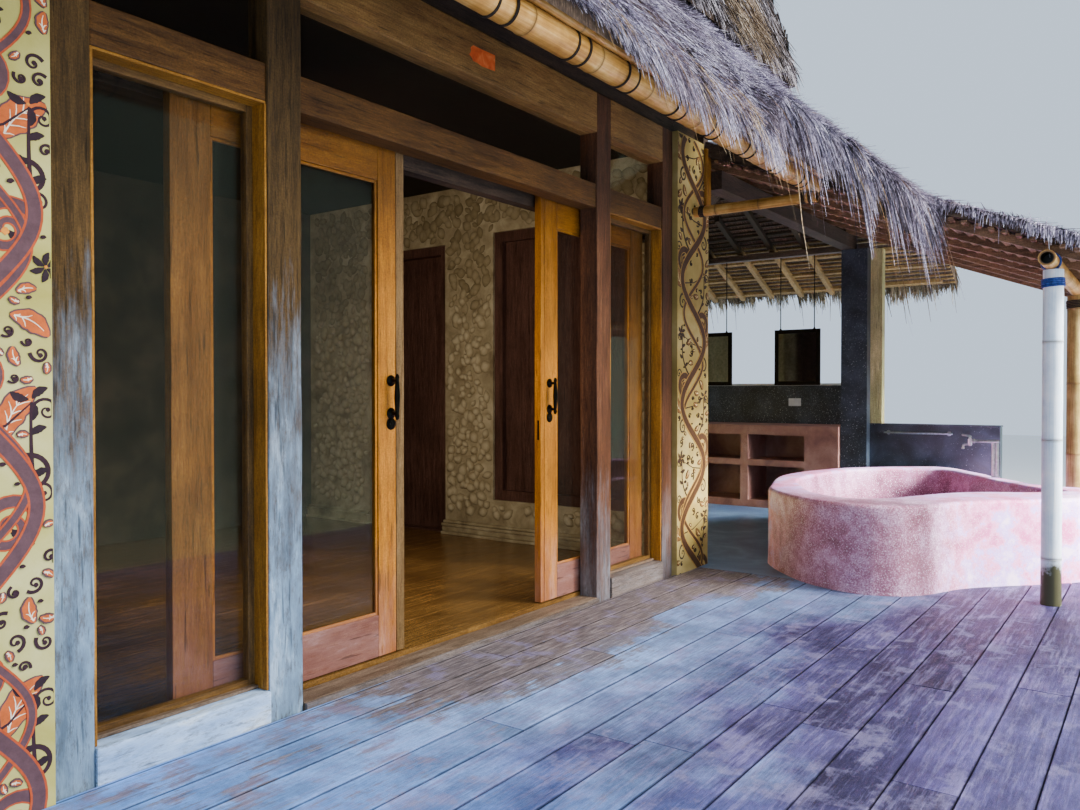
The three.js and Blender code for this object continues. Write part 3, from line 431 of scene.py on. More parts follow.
# paint once brushed over the timber, worn back to it: how high it reaches (m) and how much is left
posts = [{"full": 0.5, "gone": 2.95, "cover": 0.92, "tones": ["#5c6e80", "#86a0b6", "#bdd2e4"]}]
thinCoat = [{"full": 0.4, "gone": 2.6, "cover": 0.5, "tones": ["#6c7680", "#8f9ba6", "#bcc8d2"]}]
sillCoat = [{"full": 0.6, "gone": 2.2, "cover": 1.3, "tones": ["#84a4ce", "#b8d6f8", "#e8f4ff"]}]
bareCoat = [{"full": 0.6, "gone": 2.2, "cover": 0.3, "tones": ["#6f747e", "#93979f", "#b9bdc4"]}]
finish = {
    "stone": mineralFinish("rubbleMasonry", ["#4f4a44", "#7d766b", "#a19a8c"], 7.0, 0.95, 0.8, distance=0.02),
    "deck": deckFinish("paintedDeckBoards"),
    "slate": mineralFinish("honedSlate", ["#35486a", "#54708f", "#7d98b8"], 2.2, 0.38, 0.25),
    "floor": timberFinish("polishedFloorBoards", ["#3f2810", "#6a4820", "#86602e", "#a37a42"], gloss=0.22,
                          bump=0.15, cracks=0.35),
    "frame": timberFinish("weatheredFrameTimber", ["#241a0a", "#432f12", "#5e441e", "#826339"], gloss=0.66,
                          wornPaint=posts),
    "barePost": timberFinish("reddishPostTimber", ["#26150b", "#492a17", "#684026", "#8c6846"], gloss=0.66,
                             wornPaint=thinCoat),
    # a lighter copy of the beam timber for the head rails: painted light
    "headBeam": timberFinish("paintedLightHeadBeam", ["#4a3016", "#805829", "#a37a40", "#c49d63"], gloss=0.6),
    "beam": timberFinish("oiledBeamTimber", ["#2a1706", "#4e2f0e", "#6d4719", "#90652c"], gloss=0.6),
    "lining": timberFinish("goldenLiningBoards", ["#66400c", "#8f5c14", "#b27b26", "#cf9a45"], gloss=0.5,
                           cracks=0.3),
    "jamb": timberFinish("darkVarnishedJamb", ["#2e1c0a", "#5b3e1a", "#7d5a2a", "#a07a42"], gloss=0.5,
                         cracks=0.3),
    "sill": timberFinish("paintWornSill", ["#33281f", "#5c4a3a", "#7d6a57", "#a08d79"], gloss=0.6,
                         wornPaint=sillCoat),
    "bareSill": timberFinish("bareSill", ["#352b26", "#5f524b", "#7d6f67", "#9c8e85"], gloss=0.7,
                             wornPaint=bareCoat),
    "threshold": timberFinish("wornThreshold", ["#3a2c22", "#6b5644", "#8a745f", "#ab9681"], gloss=0.6),
    "strip": timberFinish("greyedStrip", ["#413017", "#694d29", "#86673e", "#a4865f"], gloss=0.7, cracks=0.3),
    "dark": timberFinish("darkJoinery", ["#2a1a13", "#4a3026", "#65463a", "#7d5c4a"], axis="z", gloss=0.5),
    "darkAcross": timberFinish("darkJoineryAcross", ["#1c130d", "#33251c", "#4a382a", "#614c3a"], axis="x",
                               gloss=0.8),
    # honey and stile: darkened from 1.6 m up to 2.5 m as painted shade under the eave
    "honey": timberFinish("honeyTeak", ["#6a3a04", "#a56208", "#c77f17", "#e0a03c"], gloss=0.42, bump=0.35,
                          paintedShade={"axis": "Z", "clear": 1.6, "full": 2.5, "left": 0.4},
                          wornPaint=[{"full": 0.35, "gone": 1.5, "cover": 0.72,
                                      "tones": ["#8f5238", "#ab7058", "#c4917c"]}]),
    "stile": timberFinish("oldVarnishedStile", ["#4a2806", "#7c4c12", "#996524", "#b98442"], gloss=0.42,
                          bump=0.35, paintedShade={"axis": "Z", "clear": 1.6, "full": 2.5, "left": 0.62},
                          wornPaint=[{"full": 0.35, "gone": 1.7, "cover": 0.7,
                                      "tones": ["#7c4230", "#99604a", "#b2806c"]}]),
    "footRail": timberFinish("dustyFootRail", ["#5a3020", "#85503c", "#a2705c", "#bd948a"], gloss=0.6,
                             bump=0.35,
                             wornPaint=[{"full": 0.5, "gone": 1.5, "cover": 0.72,
                                         "tones": ["#6f4238", "#8d6258", "#a8857f"]}]),
    # near-black ceiling boards: painted shade under the roof
    "ceiling": timberFinish("darkCeilingBoards", ["#0b0806", "#17110d", "#221914", "#2e231c"], axis="x",
                            gloss=0.8),
    "plank": timberFinish("smokedPlank", ["#2a211a", "#4a3c30", "#665445", "#84715f"], axis="y", gloss=0.7),
    "post": timberFinish("roughHewnPost", ["#6b6440", "#8f885c", "#b5ad7c", "#cfc79a"], axis="z", gloss=0.75),
    # the post beside the column: the hewn post's tones lightened, painted light on a post that stands in shade
    "paintedLightPost": timberFinish("paintedLightPost", ["#8a8250", "#b0a86c", "#cfc78c", "#e6dfae"], axis="z", gloss=0.8),
    "rafter": timberFinish("redRafterTimber", ["#3d2a1a", "#70513a", "#946f50", "#b89068"], axis="y",
                           gloss=0.7),
    # the bath laths darken to near-black where they run over the inside of the bay: painted shade under its
    # roof
    "bathRafter": timberFinish("tanRafterTimber", ["#5a4626", "#8f7444", "#b8975c", "#d8bc84"], axis="x",
                               gloss=0.7, paintedShade={"axis": "X", "clear": 3.86, "full": 3.76, "left": 0.09}),
    "glass": glassFinish("floatGlass"),
    "mural": paintedPlaster("mural"),
    "plaster": mineralFinish("creamPlaster", ["#b5a161", "#c6b376", "#d3c389"], 3.0, 0.85, 0.3),
    "houseWall": houseWallFinish("limedHouseWall", ["#b5a161", "#c6b376", "#d3c389"],
                                 ["#2f261d", "#40352a", "#564838"]),
    "ground": mineralFinish("creamMuralGround", ["#b0a54e", "#c4bb6b", "#d8d090"], 2.2, 0.85, 0.3),
    "oldGround": mineralFinish("goldMuralGround", ["#8c7738", "#a68f4e", "#c2ad74"], 2.2, 0.85, 0.3),
    "relief": mineralFinish("carvedPlaster", ["#7d6c4e", "#a3936f", "#c4b591"], 6.0, 0.88, 0.5),
    "lumps": carvedFinish("carvedPlasterLumps"),
    "iron": metalFinish("blackenedIron", "#2b2724", 0.42, 0.4),
    "chrome": metalFinish("chromedBrass", "#e6eef4", 0.32, 0.05),
    "terrazzo": mineralFinish("blackTerrazzo", ["#1f252d", "#2f3742", "#444f5d"], 5.0, 0.34, 0.1, speckle=[
        {"scale": 60.0, "size": 0.26, "share": 0.14, "tone": "#a9b4bb", "patch": 2.2},
        {"scale": 110.0, "size": 0.32, "share": 0.2, "tone": "#7b858d"}]),
    "ledge": mineralFinish("whiteTerrazzo", ["#aeb4b2", "#cdd2cf", "#e2e4df"], 9.0, 0.35, 0.1),
    "vanity": mineralFinish("pinkBrownCement", ["#6e4846", "#94685f", "#ac857b"], 3.4, 0.5, 0.25, speckle=[
        {"scale": 160.0, "size": 0.3, "share": 0.25, "tone": "#4a2c2b", "patch": 2.0}]),
    "tub": burnishedCement("burnishedPinkCement"),
    "bamboo": bambooFinish("goldenBamboo", ["#8f5f22", "#bd8a40", "#dab06a"]),
    # a darker, greener copy of the golden bamboo for the two bath bay posts: painted shade
    "shadeDarkBamboo": bambooFinish("shadedBamboo", ["#6a5428", "#8f7842", "#b09a62"]),
    "paleBamboo": bambooFinish("bleachedBamboo", ["#c2d4e6", "#e2eefa", "#f8fcff"], gloss=0.6,
                               foot={"full": 0.42, "gone": 0.75, "tone": "#4c4a33", "joint": "#8d8a80"}),
    "cordage": mineralFinish("tarredCord", ["#17100b", "#2b2018", "#3d2f24"], 60.0, 0.8, 0.6),
    "rope": mineralFinish("blueNylonRope", ["#122a66", "#1d3f8f", "#3b62b5"], 60.0, 0.6, 0.6),
    "thatch": strawFinish("bleachedThatch", ["#262228", "#877e92", "#ccc4da", "#f5f1fd"], "#94808a"),
    # grey straw for the upper tier, kept darker than the lower tier as painted shade
    "upperThatch": strawFinish("greyShadedThatch", ["#191719", "#504a4d", "#8f878c", "#ccc5cb"], "#6c5947"),
    "sideThatch": strawFinish("shadedThatch", ["#1d1b1e", "#5a545c", "#9b929d", "#d6cfd9"], "#75645a"),
    "tanThatch": strawFinish("tanEaveThatch", ["#292219", "#655842", "#998a6b", "#c8bb9b"], "#62573c"),
    "straw": strawFinish("looseStraw", ["#6a4c2c", "#94744c", "#b99a72", "#dcc6a4"], "#8f6c48"),
    "bundle": strawFinish("weatheredBundles", ["#2c231c", "#665541", "#948069", "#c6b69f"], "#6b5846"),
    "packedY": packedStrawFinish("packedThatch", ["#1d1512", "#4a3a2e", "#76624e"], "y"),
    "packedX": packedStrawFinish("packedThatchAcross", ["#1d1512", "#4a3a2e", "#76624e"], "x"),
    "mirror": metalFinish("mirrorGlass", "#8f979c", 0.06, 0.0),
    "white": mineralFinish("whitePlastic", ["#cfd2d4", "#dfe1e2", "#ebecec"], 9.0, 0.4, 0.05),
    "orange": mineralFinish("orangePaintPatch", ["#b8400e", "#dd5c1c", "#f08a4a"], 14.0, 0.7, 0.3),
}
print("materials ready:", len(finish))


# making and dressing pieces

def deselect():
    if bpy.context.object and bpy.context.object.mode != "OBJECT":
        bpy.ops.object.mode_set(mode="OBJECT")
    bpy.ops.object.select_all(action="DESELECT")


def dress(piece, material, stands=(), body=house):
    piece.data.materials.clear()
    piece.data.materials.append(finish[material])
    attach(piece, body)
    if stands:
        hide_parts(*stands)
    return piece


def recoat(node, material):
    for slot in cad[node].material_slots:
        slot.material = finish[material]
    if not cad[node].material_slots:
        cad[node].data.materials.append(finish[material])


def joined(name, pieces):
    deselect()
    for piece in pieces:
        piece.select_set(True)
    bpy.context.view_layer.objects.active = pieces[0]
    if len(pieces) > 1:
        bpy.ops.object.join()
    pieces[0].name = name
    pieces[0].data.name = name
    return pieces[0]


def corners(piece):
    points = np.empty(len(piece.data.vertices) * 3)
    piece.data.vertices.foreach_get("co", points)
    return points.reshape(-1, 3)


def turnOutward(piece, angle):
    deselect()
    piece.select_set(True)
    bpy.context.view_layer.objects.active = piece
    bpy.ops.object.mode_set(mode="EDIT")
    bpy.ops.mesh.select_all(action="SELECT")
    bpy.ops.mesh.normals_make_consistent(inside=False)
    bpy.ops.object.mode_set(mode="OBJECT")
    bpy.ops.object.shade_smooth_by_angle(angle=math.radians(angle))
    return piece


def writeGrain(piece, along, lot):
    mesh, points = piece.data, corners(piece)
    order = {"x": (0, 1, 2), "y": (1, 0, 2), "z": (2, 0, 1)}[along]
    grain = points[:, order] + np.array([lot * 3.7, lot * 1.3, lot * 0.7])
    attribute = mesh.attributes.new("grain", "FLOAT_VECTOR", "POINT")
    attribute.data.foreach_set("vector", grain.ravel())


def timber(name, box, along, edge=3.0, wobble=0.8, step=260.0, lot=0.0):
    # one planed or hewn member: a cube at its size, cut across its length, edges eased, faces a little uneven
    x0, x1, y0, y1, z0, z1 = box
    deselect()
    bpy.ops.mesh.primitive_cube_add(size=1, location=at((x0 + x1) / 2, (y0 + y1) / 2, (z0 + z1) / 2))
    piece = bpy.context.object
    piece.name = name
    piece.scale = ((x1 - x0) / 1000, (y1 - y0) / 1000, (z1 - z0) / 1000)
    bpy.ops.object.transform_apply(location=True, rotation=True, scale=True)
    bpy.ops.object.mode_set(mode="EDIT")
    bpy.ops.mesh.select_all(action="SELECT")
    bpy.ops.mesh.bevel(offset=edge / 1000, segments=2, profile=0.6, affect="EDGES")
    axis = "xyz".index(along)
    low, high = [(x0, x1), (y0, y1), (z0, z1)][axis]
    count = int((high - low) // step)
    for i in range(count):
        place = [(x0 + x1) / 2, (y0 + y1) / 2, (z0 + z1) / 2]
        place[axis] = low + (high - low) * (i + 1) / (count + 1)
        bpy.ops.mesh.select_all(action="SELECT")
        bpy.ops.mesh.bisect(plane_co=at(*place), plane_no=[1.0 if k == axis else 0.0 for k in range(3)])
    bpy.ops.object.mode_set(mode="OBJECT")
    if wobble:
        rng = np.random.default_rng(int(lot * 100) + 7)
        points = corners(piece)
        stations = np.round(points[:, axis] * 50).astype(int)
        for station in np.unique(stations)[1:-1]:
            ring = stations == station
            push = rng.normal(0, wobble / 1000, 3)
            push[axis] = 0
            points[ring] += np.clip(push, -wobble / 1000, wobble / 1000)
        piece.data.vertices.foreach_set("co", points.ravel())
    writeGrain(piece, along, lot)
    return piece


def meshOf(name, points, faces, layers=None, smooth=False):
    # faces: arrays of equal-sided polygons, or lists
    mesh = bpy.data.meshes.new(name)
    points = np.asarray(points, np.float32)
    if isinstance(faces, np.ndarray):
        sides = faces.shape[1]
        mesh.vertices.add(len(points))
        mesh.vertices.foreach_set("co", points.ravel())
        mesh.loops.add(faces.size)
        mesh.loops.foreach_set("vertex_index", faces.ravel().astype(np.int32))
        mesh.polygons.add(len(faces))
        mesh.polygons.foreach_set("loop_start", np.arange(0, faces.size, sides, dtype=np.int32))
        mesh.polygons.foreach_set("loop_total", np.full(len(faces), sides, np.int32))
        mesh.update(calc_edges=True)
    else:
        mesh.from_pydata(points.tolist(), [], faces)
        mesh.update()
    for key, values in (layers or {}).items():
        values = np.asarray(values, np.float32)
        if values.ndim == 1:
            mesh.attributes.new(key, "FLOAT", "POINT").data.foreach_set("value", values)
        elif values.shape[1] == 4:
            mesh.attributes.new(key, "FLOAT_COLOR", "POINT").data.foreach_set("color", values.ravel())
        else:
            mesh.attributes.new(key, "FLOAT_VECTOR", "POINT").data.foreach_set("vector", values.ravel())
    if smooth:
        mesh.polygons.foreach_set("use_smooth", np.ones(len(mesh.polygons), bool))
    piece = bpy.data.objects.new(name, mesh)
    bpy.context.scene.collection.objects.link(piece)
    return piece


def roundFaces(rings, sides, closeStart=True, closeEnd=True):
    faces = []
    for i in range(rings - 1):
        for j in range(sides):
            k = (j + 1) % sides
            faces.append((i * sides + j, i * sides + k, (i + 1) * sides + k, (i + 1) * sides + j))
    if closeStart:
        faces.append(tuple(range(sides))[::-1])
    if closeEnd:
        faces.append(tuple((rings - 1) * sides + j for j in range(sides)))
    return faces


def tube(name, path, radii, sides=16, joints=None, hollow=0.0, seed=0):
    # a round bar, culm or pipe through the points of path, with a radius at each
    path = np.asarray(path, float)
    radii = np.broadcast_to(np.asarray(radii, float), (len(path),))
    marks = np.zeros(len(path)) if joints is None else np.asarray(joints, float)
    if hollow:
        ends = path[-1] - path[-2]
        ends = ends / np.linalg.norm(ends)
        path = np.vstack([path, path[-1], path[-1] - ends * 120])
        radii = np.append(radii, [radii[-1] * hollow, radii[-1] * hollow])
        # marks above 1 tell the finish to paint the inside of the open end near-black, as painted shade
        marks = np.append(marks, [1.5, 3.0])
    tangents = np.gradient(path, axis=0)
    if hollow:
        tangents[-3:] = ends
    tangents /= np.linalg.norm(tangents, axis=1)[:, None] + 1e-9
    side = np.cross(tangents[0], [0.0, 0.0, 1.0])
    if np.linalg.norm(side) < 0.1:
        side = np.cross(tangents[0], [0.0, 1.0, 0.0])
    rings, grain = [], []
    run = 0.0
    for i, (point, tangent, radius) in enumerate(zip(path, tangents, radii)):
        side = side - tangent * side.dot(tangent)
        side /= np.linalg.norm(side)
        up = np.cross(tangent, side)
        turn = np.arange(sides) * 2 * math.pi / sides
        circle = point + radius * (np.cos(turn)[:, None] * side + np.sin(turn)[:, None] * up)
        rings.append(circle)
        run += np.linalg.norm(point - path[i - 1]) if i else 0.0
        own = np.stack([np.full(sides, run / 1000 + seed), np.cos(turn) * radius / 1000,
                        np.sin(turn) * radius / 1000], 1)
        grain.append(own)
    points = metres(np.concatenate(rings))
    faces = [f[::-1] for f in roundFaces(len(path), sides)]
    layers = {"grain": np.concatenate(grain), "joint": np.repeat(marks, sides)}
    return turnOutward(meshOf(name, points, faces, layers, smooth=True), 50)


def culm(name, start, end, radius, spacing, sides=24, hollow=0.0, seed=0):
    # a bamboo culm: straight stretches between raised joints, a little sway
    start, end = np.array(start, float), np.array(end, float)
    length = np.linalg.norm(end - start)
    axis = (end - start) / length
    rng = np.random.default_rng(seed)
    stations, widths, marks = [0.0], [radius], [0.0]
    place = spacing * (0.35 + 0.3 * rng.random())
    while place < length - 40:
        for offset, swell, mark in ((-16, 1.0, 0.0), (-7, 1.012, 0.25), (-3, 1.045, 0.5), (0, 0.985, 1.0),
                                    (3, 1.035, 0.45), (14, 1.0, 0.0)):
            stations.append(place + offset)
            widths.append(radius * swell / 1.045)
            marks.append(mark)
        place += spacing * (0.85 + 0.3 * rng.random())
    stations.append(length)
    widths.append(radius / 1.045)
    marks.append(0.0)
    path = start + np.outer(stations, axis)
    return tube(name, path, widths, sides, marks, hollow, seed)


def windings(name, centre, axis, radius, thickness, offsets, sides=8):
    # turns of cord round a pole
    axis = np.array(axis, float)
    side = np.cross(axis, [0, 0, 1.0])
    if np.linalg.norm(side) < 0.1:
        side = np.array([1.0, 0, 0])
    side /= np.linalg.norm(side)
    up = np.cross(axis, side)
    points, faces = [], []
    for offset in offsets:
        base = len(points)
        around = 28
        for i in range(around):
            a = 2 * math.pi * i / around
            out = math.cos(a) * side + math.sin(a) * up
            hub = np.array(centre, float) + axis * offset + out * radius
            for j in range(sides):
                b = 2 * math.pi * j / sides
                points.append(hub + thickness * (math.cos(b) * out + math.sin(b) * axis))
        for i in range(around):
            for j in range(sides):
                a0, a1 = base + i * sides, base + ((i + 1) % around) * sides
                faces.append((a0 + j, a1 + j, a1 + (j + 1) % sides, a0 + (j + 1) % sides))
    return meshOf(name, metres(points), [f[::-1] for f in faces], smooth=True)


# deck and floors

deckPlan = {"pitch": 185.0, "gap": 4.2, "thick": 40.0, "left": -2750.0, "front": -2800.0, "house": -36.3}
tubOuter = [(2797, -293), (2504, -418), (2180, -721), (2040, -1010), (2060, -1230), (2200, -1410),
            (2560, -1590), (2930, -1930), (3220, -2160), (3560, -2240), (3800, -2080), (3850, -1850),
            (4229, -1537), (4647, -1290), (5030, -960), (4762, -554), (4334, -250), (3560, -110)]
tubInner = [(3257, -330), (2807, -523), (2494, -710), (2337, -960), (2452, -1150), (2692, -1265), (2954, -1391),
            (3142, -1560), (3330, -1840), (3520, -1990), (3640, -1930), (3700, -1790), (4060, -1500),
            (4500, -1240), (4800, -960), (4600, -600), (4229, -390), (3740, -310)]


def closedCurve(points, count):
    points = np.asarray(points, float)
    n = len(points)
    out = []
    for i in range(count):
        t = i * n / count
        k = int(t)
        f = t - k
        p0, p1, p2, p3 = (points[(k + o) % n] for o in (-1, 0, 1, 2))
        v0, v1 = (p2 - p0) / 2, (p3 - p1) / 2
        bend, turn = 2 * p1 - 2 * p2 + v0 + v1, -3 * p1 + 3 * p2 - 2 * v0 - v1
        out.append(bend * f ** 3 + turn * f * f + v0 * f + p1)
    return np.array(out)


def crossings(outline, y):
    xs = []
    for (xa, ya), (xb, yb) in zip(outline, np.roll(outline, -1, axis=0)):
        if (ya - y) * (yb - y) < 0:
            xs.append(xa + (xb - xa) * (y - ya) / (yb - ya))
    return sorted(xs)


def boardSet(name, boards, edge, along="x", seed=1):
    # one planed board is modelled, then stretched to each size and joined; its eased edges keep their width
    model = timber(name + "Model", (-500, 500, -50, 50, -10, 10), "x", edge=edge, wobble=0, step=9999)
    unit = corners(model) * 1000 - siteShift
    faces = [tuple(p.vertices) for p in model.data.polygons]
    bpy.data.objects.remove(model)
    rng = np.random.default_rng(seed)
    sign = np.sign(unit)
    points, allFaces, grain, lots = [], [], [], []
    for i, (x0, x1, y0, y1, z0, z1) in enumerate(boards):
        half = np.array([(x1 - x0) / 2, (y1 - y0) / 2, (z1 - z0) / 2])
        middle = np.array([(x0 + x1) / 2, (y0 + y1) / 2, (z0 + z1) / 2])
        body = unit + sign * (half - np.array([500, 50, 10]))
        tilt = rng.normal(0, 0.25)
        body[:, 2] += tilt * body[:, 1] / 100
        placed = body + middle
        base = i * len(unit)
        points.append(placed)
        allFaces.extend(tuple(v + base for v in f) for f in faces)
        order = (0, 1, 2) if along == "x" else (1, 0, 2)
        grain.append(placed[:, order] / 1000 + rng.random(3) * 40)
        lots.append(np.tile(rng.random(3) * np.array([2, 1, 1]) - np.array([1, 0, 0]), (len(unit), 1)))
    layers = {"grain": np.concatenate(grain), "board": np.concatenate(lots)}
    return meshOf(name, metres(np.concatenate(points)), allFaces, layers)


def layDeck():
    outline = closedCurve(tubOuter, 240)
    rng = random.Random(11)
    boards = []
    y1 = deckPlan["house"]
    while y1 > deckPlan["front"] + 20:
        y0 = max(y1 - deckPlan["pitch"], deckPlan["front"])
        middle = (y0 + y1) / 2
        right = 5560 if middle < -1900 else 3300 if middle < -1150 else 2200
        spans = [(deckPlan["left"], right)]
        hits = [crossings(outline, y) for y in (y0 + 5, middle, y1 - 5)]
        if all(hits):
            left, far = max(hit[0] for hit in hits) + 30, min(hit[-1] for hit in hits) - 30
            spans = [(deckPlan["left"], min(left, right))]
            if right > far + 60:
                spans.append((far, right))
        for a, b in spans:
            x = a
            while b - x > 60:
                length = rng.uniform(1900, 3600)
                end = b if b - x - length < 700 else x + length
                drop = rng.uniform(0.0, 0.6)
                boards.append((x + 1.2, end - 1.2, y0 + deckPlan["gap"] / 2, y1 - deckPlan["gap"] / 2,
                               -deckPlan["thick"] + 12, -drop))
                x = end
        y1 = y0
    for a, b in ((-1885.5, -620), (-618, 905), (907, 1885.5)):
        boards.append((a, b, deckPlan["house"] + 0.5, -21.0, -deckPlan["thick"] + 12, -0.8))
    deck = boardSet("deckBoards", boards, 2.2, seed=3)
    dress(deck, "deck", ["deck"])
    return len(boards)


print("deck boards:", layDeck())
recoat("plinth", "stone")
recoat("bath_floor", "slate")


floorPlan = {"left": -2024.5, "right": 2084.4, "front": 112.6, "back": 3724.4, "board": 112, "shortest": 500}


def layRoomFloor():
    rng = random.Random(5)
    left, right, y, back, board, shortest = floorPlan.values()
    boards = []
    while y < back:
        y1 = min(y + board, back)
        x = left
        while x < right:
            end = x + rng.uniform(1200, 2600)
            if right - end < shortest:
                end = right
            boards.append((x + 0.3, end - 0.3, y + 0.5, y1 - 0.5, 18, 40))
            x = end
        y = y1
    floor = boardSet("roomFloorBoards", boards, 1.0, seed=8)
    dress(floor, "floor", ["room_floor"])
    return len(boards)


print("room floor boards:", layRoomFloor())

# what each solid that stays as it was cut is made of, and those that lie under a dressed piece
cadCoats = {
    "darkAcross": "bath_beam door_track front_frieze",
    "plank": "bath_plank",
    "ceiling": "ceiling",
    "houseWall": "wall_left wall_back",
    "relief": "wall_right",
    "ground": "wall_front_left",
    "oldGround": "wall_front_right",
    "plaster": "bath_wall_back",
    "dark": "side_door side_window deck room_floor mirror_right mirror_left",
    "sill": "front_sill",
    "beam": "front_frame",
    "honey": "window_left window_right left_leaf_frame right_leaf_frame",
    "glass": "transom_glass left_leaf_glass right_leaf_glass",
    "iron": "left_leaf_handle right_leaf_handle",
    "packedY": "thatch_front thatch_back thatch_corner upper_thatch_front upper_thatch_back ridge "
               "lean_to_thatch bath_thatch_back",
    "packedX": "thatch_left thatch_right upper_thatch_left upper_thatch_right bath_thatch_right",
    "post": "upper_frame eave_pole eave_strut_left eave_strut_right lean_to_purlin bamboo_post_left "
            "bamboo_post_right bamboo_post_middle",
    "rafter": "lean_to_rafters",
    "bathRafter": "bath_rafters",
    "terrazzo": "bath_column vanity_wall low_wall",
    "paintedLightPost": "timber_post",
    "vanity": "vanity",
    "tub": "tub",
    "chrome": "tub_taps",
}
for material, nodes in cadCoats.items():
    for node in nodes.split():
        recoat(node, material)


# timber front

frontPlan = {"doorHalf": 1000, "postIn": 145, "windowEnd": 1757, "postEnd": 1887, "back": 112, "wall": -36}


def block(name, box, along, edge):
    # a small straight-edged member, cut nowhere and quite even
    return timber(name, box, along, edge=edge, wobble=0, step=9999)


def raiseFront():
    end, half, inner, edge = (frontPlan[k] for k in ("windowEnd", "doorHalf", "postIn", "postEnd"))
    back = frontPlan["back"]
    members = []
    for i, (x0, x1) in enumerate(((-edge, -end), (-half - inner, -half), (half, half + inner), (end, edge))):
        members.append(timber("post", (x0 + seat, x1 - seat, 0, back, -39, 2790), "z", edge=6, wobble=1.6,
                              lot=1.1 + i))
    dress(joined("westPosts", members[:2]), "frame", ["front_frame"])
    dress(joined("eastPosts", members[2:]), "barePost", ["front_frame"])
    rails = []
    stretches = ((-end, -half - inner), (-half, half), (half + inner, end))
    heads = []
    for i, (x0, x1) in enumerate(stretches):
        rails.append(timber("rail", (x0, x1, 8, back, 2164, 2295), "x", edge=5, wobble=1.2, lot=6.2 + i))
        heads.append(timber("head", (x0, x1, 0, back, 2572, 2790), "x", edge=6, wobble=1.2, lot=9.4 + i))
    dress(joined("frontRails", rails), "beam", ["front_frame"])
    dress(joined("frontHeads", heads), "headBeam", ["front_frame"])
    sills = []
    for i, (x0, x1) in enumerate(((-end + seat, -half - inner - seat), (half + inner + seat, end - seat))):
        sills.append(timber("sill", (x0, x1, -10, 112, -39, 104), "x", edge=7, wobble=1.0, lot=20.3 + i))
    for piece, name, material in zip(sills, ("leftSill", "rightSill"), ("sill", "bareSill")):
        dress(joined(name, [piece]), material, ["front_sill"])
    step = timber("threshold", (-half + seat, half - seat, -4, 112, -39, 21), "x", edge=4, wobble=0.8, lot=24.4)
    dress(step, "threshold", ["front_sill"])
    plank = timber("pierPlank", (2264, 2333, -56, -36.6, 2372, 2762), "z", edge=3, wobble=0.8, lot=29.4)
    dress(plank, "lining")
    packing = timber("cornerPacking", (2261, 2333, -34, 30, 2764, 2900), "z", edge=3, wobble=0.6, lot=29.9)
    dress(packing, "plank")
    nosing = timber("thresholdNosing", (-half + seat, half - seat, -20, -4.4, -39, 19), "x", edge=4, wobble=0.8,
                    lot=27.4)
    dress(nosing, "bareSill", ["front_sill"])


def markHeadBeam():
    # an old patch of orange paint on the head beam over the doorway
    rng = np.random.default_rng(12)
    outline = []
    for i in range(22):
        a = 2 * math.pi * i / 22
        outline.append((61 + 126 * math.copysign(abs(math.cos(a)) ** 0.5, math.cos(a)) + rng.uniform(-9, 9),
                        2674 + 38 * math.copysign(abs(math.sin(a)) ** 0.6, math.sin(a)) + rng.uniform(-5, 5)))
    points = [(x, y, z) for y in (0.5, -0.5) for x, z in outline]
    patch = meshOf("orangePatch", metres(points), [f[::-1] for f in roundFaces(2, 22)])
    dress(patch, "orange")


def fitWindows():
    # pane frames set deep in the openings, with planed linings in front of them
    end, inner = frontPlan["windowEnd"], frontPlan["doorHalf"] + frontPlan["postIn"]
    for name, node, x0, x1 in (("leftWindow", "window_left", seat - end, -inner - seat),
                               ("rightWindow", "window_right", inner + seat, end - seat)):
        z0, z1, w = 105.3, 2163.7, 32
        members = [timber("stile", (x0, x0 + w, 76, 110, z0, z1), "z", edge=3, lot=30.1),
                   timber("stile", (x1 - w, x1, 76, 110, z0, z1), "z", edge=3, lot=31.7),
                   timber("rail", (x0 + w, x1 - w, 76, 110, z1 - w, z1), "x", edge=3, lot=32.3),
                   timber("rail", (x0 + w, x1 - w, 76, 110, z0, z0 + w), "x", edge=3, lot=33.9)]
        dress(joined(name + "Frame", members), "jamb", [node])
        linings = [timber("lining", (x0, x1, 9, 75.6, z1 - 9, z1), "x", edge=2, wobble=0.5, lot=34.4),
                   timber("lining", (x0, x0 + 9, 6, 75.6, z0, z1 - 9.3), "z", edge=2, wobble=0.5, lot=35.8),
                   timber("lining", (x1 - 9, x1, 6, 75.6, z0, z1 - 9.3), "z", edge=2, wobble=0.5, lot=36.6)]
        dress(joined(name + "Linings", linings), "lining")
        stop = timber(name + "Stop", (x0 + 9.3, x1 - 9.3, 52, 75.6, z0, z0 + 12), "x", edge=2, wobble=0.5,
                      lot=37.2)
        dress(stop, "threshold")
        pane = timber(name + "Glass", (x0 + w - 5, x1 - w + 5, 88, 94, z0 + w - 5, z1 - w + 5), "z", edge=0.5,
                      wobble=0)
        dress(pane, "glass", [node])


# one leaf: 1077 mm wide with 150 mm stiles, from z 45 to 2190 mm, its faces at y 122 and 162 mm
leafPlan = {"width": 1077, "stile": 150, "near": 122, "far": 162, "foot": 45, "head": 2190, "low": 220,
            "high": 2030}


